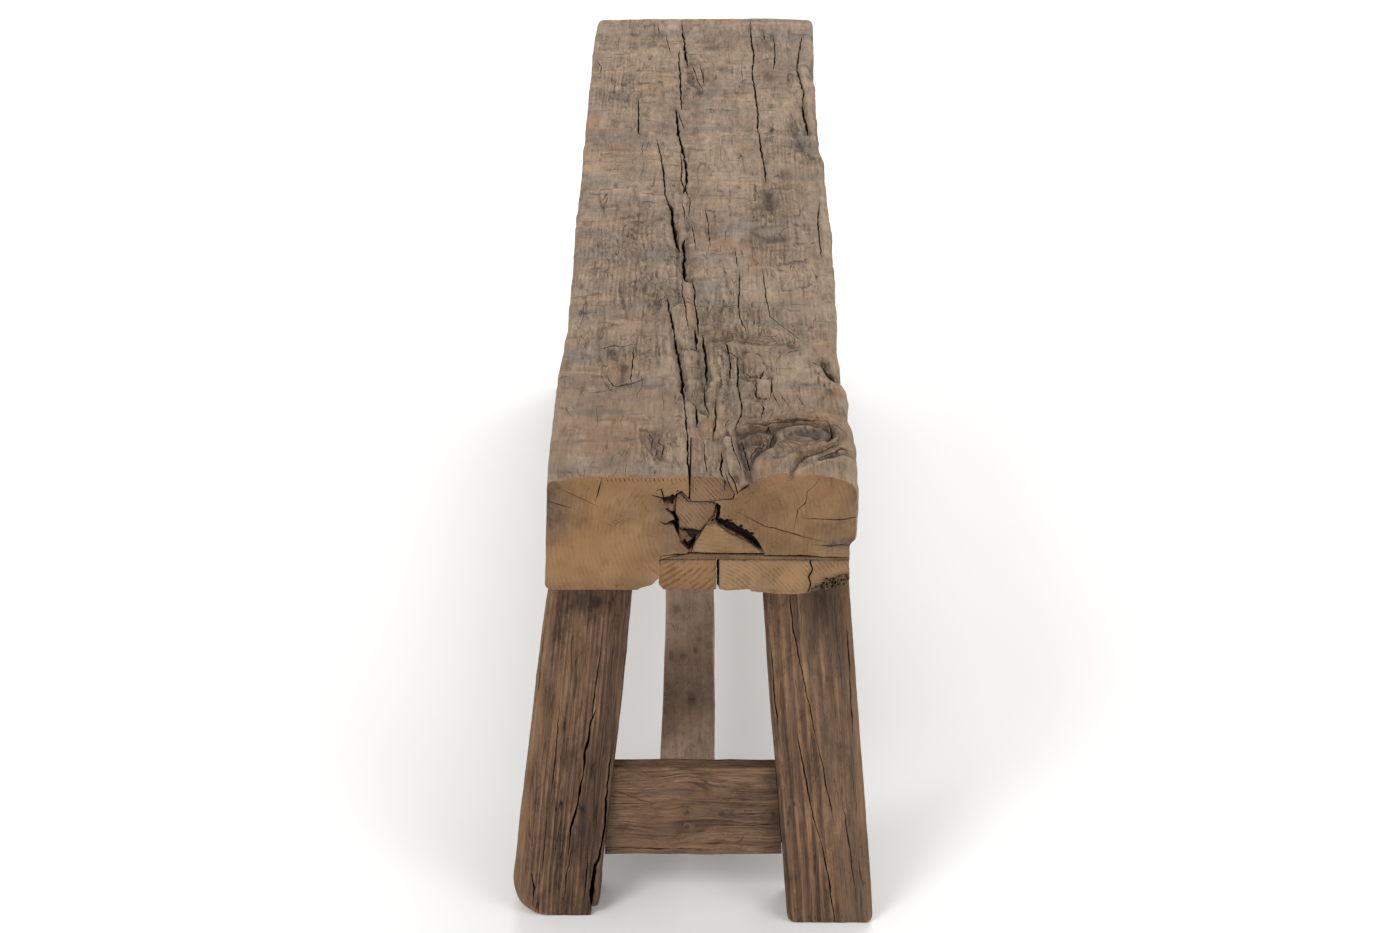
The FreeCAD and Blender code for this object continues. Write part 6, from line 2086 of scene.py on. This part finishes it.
def solid_parts(node):
    """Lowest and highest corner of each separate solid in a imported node."""
    work = welded(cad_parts[node].data)
    found = []
    for island in islands_of(work):
        places = np.array([vertex.co for vertex in island]) / MM
        found.append((places.min(axis=0), places.max(axis=0)))
    work.free()
    return found


def plug_centres():
    """Centre of each plug."""
    return [(low + high) / 2 for low, high in solid_parts("stretcher_plugs")]


def build_plugs(material):
    """The four plugs over the stretcher screws."""
    low, high = solid_parts("stretcher_plugs")[0]
    length, radius = (high - low)[0], (high - low)[1] / 2
    centres = np.array(plug_centres())
    mesh = bpy.data.meshes.new("screw_plugs")
    mesh.from_pydata((centres * MM).tolist(), [], [])
    plugs = add_object("screw_plugs", mesh)
    tree = plug_tree(material)
    modifier = plugs.modifiers.new("plugs", "NODES")
    modifier.node_group = tree
    sockets = {item.name: item.identifier for item in tree.interface.items_tree if item.in_out == "INPUT"}
    modifier[sockets["Radius"]] = (radius - PLUG_EASE) * MM
    modifier[sockets["Length"]] = (length - PLUG_SINK) * MM
    shown = plugs.evaluated_get(bpy.context.evaluated_depsgraph_get())
    result = bpy.data.meshes.new_from_object(shown)
    plugs.modifiers.clear()
    plugs.data = result

    def from_centres(points):
        nearest = np.argmin(((points[:, None, :] - centres[None]) ** 2).sum(axis=2), axis=1)
        return points[:, 1] - centres[nearest, 1], points[:, 2] - centres[nearest, 2]

    def grain(points):
        across, up = from_centres(points)
        return np.column_stack((points[:, 0], across + 2.0, up + 1.0))

    def stain(points):
        out = np.hypot(*from_centres(points)) + 0.9 * noise(points[:, 1] / 2.4, points[:, 2] / 2.4, 0, 18)
        dark = 0.95 * smooth_step(out, radius - 1, 1.2)
        return np.column_stack((dark, np.zeros((len(points), 2))))

    finish_timber(plugs, material, grain, stain)
    dress(plugs, "plug_wood", "stretcher_plugs")


def steel(name, base, rust):
    """Old screw steel with rust in patches."""
    graph = Graph(name)
    place = graph.node("ShaderNodeTexCoord").outputs["Object"]
    patches = graph.noise(place, (420, 420, 420), 4, 0.6)
    scratches = graph.noise(place, (90, 2400, 2400), 2, 0.5)
    share = graph.fade(patches, 0.42, 0.6)
    roughness = graph.calc("ADD", graph.fade(scratches, 0.3, 0.7, 0.32, 0.5), graph.times(share, 0.35))
    height = graph.calc("ADD", patches, scratches)
    return graph.finish(graph.mix(share, base, rust), roughness, height, 0.6, 0.0003, 0.5, metallic=0.75)


def hidden_wood(name, look):
    """Clean wood of the wedges inside the joints, on object coordinates."""
    graph = Graph(name)
    place = graph.node("ShaderNodeTexCoord").outputs["Object"]
    fibre = graph.noise(place, (420, 420, 9), 5, 0.6)
    cloud = graph.noise(place, (40, 40, 20), 3, 0.5)
    colour = graph.mix(graph.fade(cloud, 0.35, 0.65), look["pale"], look["mid"])
    colour = graph.mix(1.0, colour, graph.grey(graph.fade(fibre, 0.3, 0.7, 1.08, 0.82)), "MULTIPLY")
    return graph.finish(colour, graph.fade(fibre, 0.2, 0.8, 0.6, 0.8), fibre, 0.7, 0.0004, 0.3)


# Settings, operators and panel

def length_property(name, description, default, low, high):
    """A length that a user can change, given here in millimetres."""
    return FloatProperty(name=name, description=description, default=default * MM, min=low * MM,
                         max=high * MM, unit="LENGTH")


class BenchSizes(PropertyGroup):
    """Sizes of the wear and weathering"""
    arris: length_property("Beam arris", "Radius of the beam's worn long edges", 5.0, 1.0, 12.0)
    adze_depth: length_property("Adze depth", "Depth of the hollows that hewing left", 0.9, 0.0, 3.0)
    weathering: length_property("Weathering", "Depth of the weathered grain on the beam", 0.55, 0.0, 2.0)
    split_width: FloatProperty(name="Split width", description="Share of each split's full width",
                               default=0.95, min=0.3, max=1.5, subtype="FACTOR")
    leg_arris: length_property("Leg arris", "Radius of the legs' edges", 4.0, 1.0, 10.0)
    leg_ridges: length_property("Leg ridges", "Depth of the worn grain on the legs", 0.5, 0.0, 2.0)
    board_arris: length_property("Stretcher arris", "Radius of the stretchers' edges", 2.0, 0.5, 6.0)
    board_ridges: length_property("Stretcher ridges", "Depth of the stretchers' worn grain", 0.35, 0.0, 2.0)


def colour_property(name, description, default):
    """A colour that a user can change."""
    return FloatVectorProperty(name=name, description=description, default=default, size=4, min=0.0, max=1.0,
                               subtype="COLOR")


class BenchColours(PropertyGroup):
    """Base colours of the woods and of the floor"""
    seat_pale: colour_property("Seat, pale", "Pale weathered wood of the beam", SEAT_LOOK["pale"])
    seat_mid: colour_property("Seat, middle", "Middle tone of the beam", SEAT_LOOK["mid"])
    end_pale: colour_property("End grain, pale", "Pale sawn end of the beam", SEAT_LOOK["end_pale"])
    end_mid: colour_property("End grain, middle", "Middle tone of the sawn end", SEAT_LOOK["end_mid"])
    leg_pale: colour_property("Legs, pale", "Pale tone of the legs", LEG_LOOK["pale"])
    leg_mid: colour_property("Legs, middle", "Middle tone of the legs", LEG_LOOK["mid"])
    board_pale: colour_property("Stretchers, pale", "Pale tone of the stretchers", STRETCHER_LOOK["pale"])
    board_mid: colour_property("Stretchers, middle", "Middle tone of the stretchers", STRETCHER_LOOK["mid"])
    floor: colour_property("Floor", "The plain pale floor", tone(243, 243, 242))


def sizes_of(context):
    """The sizes in millimetres, and shares as they are, by name."""
    given = context.scene.bench_sizes
    scale = {name: 1.0 / MM for name in given.__annotations__}
    scale["split_width"] = 1.0
    return {name: getattr(given, name) * scale[name] for name in given.__annotations__}


def seat_look(context):
    """The beam's finish with the user's colours."""
    given = context.scene.bench_colours
    return dict(SEAT_LOOK, pale=tuple(given.seat_pale), mid=tuple(given.seat_mid),
                end_pale=tuple(given.end_pale), end_mid=tuple(given.end_mid))


# Size of the floor in metres, strength of the sky's light, and the camera's nearest and farthest sight
FLOOR_SIZE = 24.0
SKY_STRENGTH = 0.62
CAMERA_REACH = (0.1, 60.0)
# Name, place, aim, size in metres and power in watts of each soft lamp
STAGE_LIGHTS = (
    ("key_light", (6.4, -3.6, 4.8), (0.0, 0.0, 0.4), 3.2, 300.0),
    ("fill_light", (5.6, 4.2, 3.0), (0.0, 0.0, 0.3), 4.0, 150.0),
    ("top_light", (-2.4, 0.4, 3.8), (-0.4, 0.0, 0.4), 3.0, 110.0),
)


def aimed(name, data, place, direction):
    """Add a lamp or a camera that looks in a direction."""
    holder = add_object(name, data)
    holder.location = place
    holder.rotation_mode = "QUATERNION"
    holder.rotation_quaternion = Vector(direction).to_track_quat("-Z", "Y")
    return holder


def build_floor(base):
    """The plain pale floor."""
    half = FLOOR_SIZE / 2 / MM
    corners = ((-half, -half, 0), (half, -half, 0), (half, half, 0), (-half, half, 0))
    floor = new_piece("floor", corners, [(0, 1, 2, 3)])
    graph = Graph("pale_floor")
    cloud = graph.noise(graph.node("ShaderNodeTexCoord").outputs["Object"], (3, 3, 3), 3, 0.5)
    colour = graph.mix(graph.fade(cloud, 0.3, 0.7, 0.0, 0.05), base, tone(225, 225, 224))
    floor.data.materials.append(graph.finish(colour, 0.85, cloud, 0.05, 0.0002, 0.2))


def build_light_and_camera(scene):
    """The soft light of a room, and the camera as it stood for the photograph."""
    scene.world = bpy.data.worlds.new("soft_room")
    scene.world.use_nodes = True
    sky = scene.world.node_tree.nodes["Background"]
    sky.inputs["Color"].default_value = (1.0, 1.0, 1.0, 1.0)
    sky.inputs["Strength"].default_value = SKY_STRENGTH
    for name, place, aim, size, power in STAGE_LIGHTS:
        lamp = bpy.data.lights.new(name, "AREA")
        lamp.energy, lamp.size, lamp.shape = power, size, "DISK"
        aimed(name, lamp, place, Vector(aim) - Vector(place))
    lens = bpy.data.cameras.new("photo_view")
    lens.lens, lens.sensor_width = CAMERA_LENS, SENSOR_WIDTH
    lens.clip_start, lens.clip_end = CAMERA_REACH
    scene.camera = aimed("photo_view", lens, CAMERA_PLACE, sight((PHOTO_WIDTH / 2, PHOTO_HEIGHT / 2)))
    scene.view_settings.view_transform = "Standard"


class BENCH_OT_stage(Operator):
    """Make the pale floor, the soft light and the camera"""
    bl_idname = "bench.stage"
    bl_label = "Stage"

    def execute(self, context):
        build_floor(tuple(context.scene.bench_colours.floor))
        build_light_and_camera(context.scene)
        return {"FINISHED"}


class BENCH_OT_seat_beam(Operator):
    """Make the hewn seat beam with its splits, knots and pockets"""
    bl_idname = "bench.seat_beam"
    bl_label = "Seat beam"

    def execute(self, context):
        build_seat_beam(sizes_of(context), seat_look(context))
        return {"FINISHED"}


class BENCH_OT_end_repairs(Operator):
    """Make the inlay, the core filler and the core wedge"""
    bl_idname = "bench.end_repairs"
    bl_label = "End repairs"

    def execute(self, context):
        build_end_repairs(sizes_of(context), {"inlay": INLAY_LOOK, "wedge": seat_look(context)})
        return {"FINISHED"}


class BENCH_OT_underside_repairs(Operator):
    """Make the packing strip and the two boards let in under the near end"""
    bl_idname = "bench.underside_repairs"
    bl_label = "Underside repairs"

    def execute(self, context):
        build_underside_repairs({"strip": STRIP_LOOK, "patch": PATCH_LOOK, "pale_patch": PALE_PATCH_LOOK})
        return {"FINISHED"}


class BENCH_OT_legs(Operator):
    """Make the four splayed legs with their tenons"""
    bl_idname = "bench.legs"
    bl_label = "Legs"

    def execute(self, context):
        given = context.scene.bench_colours
        tones = {"pale": tuple(given.leg_pale), "mid": tuple(given.leg_mid)}
        fibrous = aged_wood("leg_wood", dict(LEG_LOOK, **tones))
        striped = aged_wood("striped_leg_wood", dict(STRIPED_LOOK, **tones))
        for leg in LEGS:
            build_leg(leg, sizes_of(context), striped if "right" in leg else fibrous)
        return {"FINISHED"}


class BENCH_OT_stretchers(Operator):
    """Make the two end stretchers and the long stretcher"""
    bl_idname = "bench.stretchers"
    bl_label = "Stretchers"

    def execute(self, context):
        given = context.scene.bench_colours
        look = dict(STRETCHER_LOOK, pale=tuple(given.board_pale), mid=tuple(given.board_mid))
        wood = aged_wood("end_stretcher_wood", look)
        for end in ENDS:
            build_end_stretcher(end, sizes_of(context), wood)
        build_long_stretcher(sizes_of(context), aged_wood("long_stretcher_lightened_wood", LIGHTENED_BOARD_LOOK))
        return {"FINISHED"}


class BENCH_OT_plugs(Operator):
    """Set a plug over each stretcher screw"""
    bl_idname = "bench.plugs"
    bl_label = "Plugs"

    def execute(self, context):
        build_plugs(aged_wood("plug_wood", PLUG_LOOK))
        return {"FINISHED"}


class BENCH_OT_fixings(Operator):
    """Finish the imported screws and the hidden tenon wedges"""
    bl_idname = "bench.fixings"
    bl_label = "Hidden fixings"

    def execute(self, context):
        metal = steel("screw_steel", tone(120, 116, 110), tone(92, 58, 38))
        finishes = {"patch_screws": metal, "stretcher_screws": metal,
                    "leg_tenon_wedges": hidden_wood("wedge_wood", HIDDEN_LOOK)}
        for node, material in finishes.items():
            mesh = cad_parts[node].data
            mesh.materials.clear()
            mesh.materials.append(material)
        return {"FINISHED"}


OPERATORS = (
    BENCH_OT_stage, BENCH_OT_seat_beam, BENCH_OT_end_repairs, BENCH_OT_underside_repairs, BENCH_OT_legs,
    BENCH_OT_stretchers, BENCH_OT_plugs, BENCH_OT_fixings,
)


class BENCH_PT_pieces(Panel):
    """Every step of the bench, in order"""
    bl_idname = "BENCH_PT_pieces"
    bl_label = "Old Beam Bench"
    bl_space_type = "VIEW_3D"
    bl_region_type = "UI"
    bl_category = "Bench"

    def draw(self, context):
        column = self.layout.column(align=True)
        for step in OPERATORS:
            column.operator(step.bl_idname)
        for group in (context.scene.bench_sizes, context.scene.bench_colours):
            box = self.layout.box()
            for name in group.__annotations__:
                box.prop(group, name)


CLASSES = (BenchSizes, BenchColours, *OPERATORS, BENCH_PT_pieces)


def register():
    """Add the settings, the steps and the panel to Blender."""
    for cls in CLASSES:
        bpy.utils.register_class(cls)
    bpy.types.Scene.bench_sizes = PointerProperty(type=BenchSizes)
    bpy.types.Scene.bench_colours = PointerProperty(type=BenchColours)


def unregister():
    """Take them out again."""
    del bpy.types.Scene.bench_colours
    del bpy.types.Scene.bench_sizes
    for cls in reversed(CLASSES):
        bpy.utils.unregister_class(cls)


def main():
    """Make the bench step by step."""
    register()
    for step in OPERATORS:
        group, name = step.bl_idname.split(".")
        getattr(getattr(bpy.ops, group), name)()


if __name__ == "__main__":
    main()
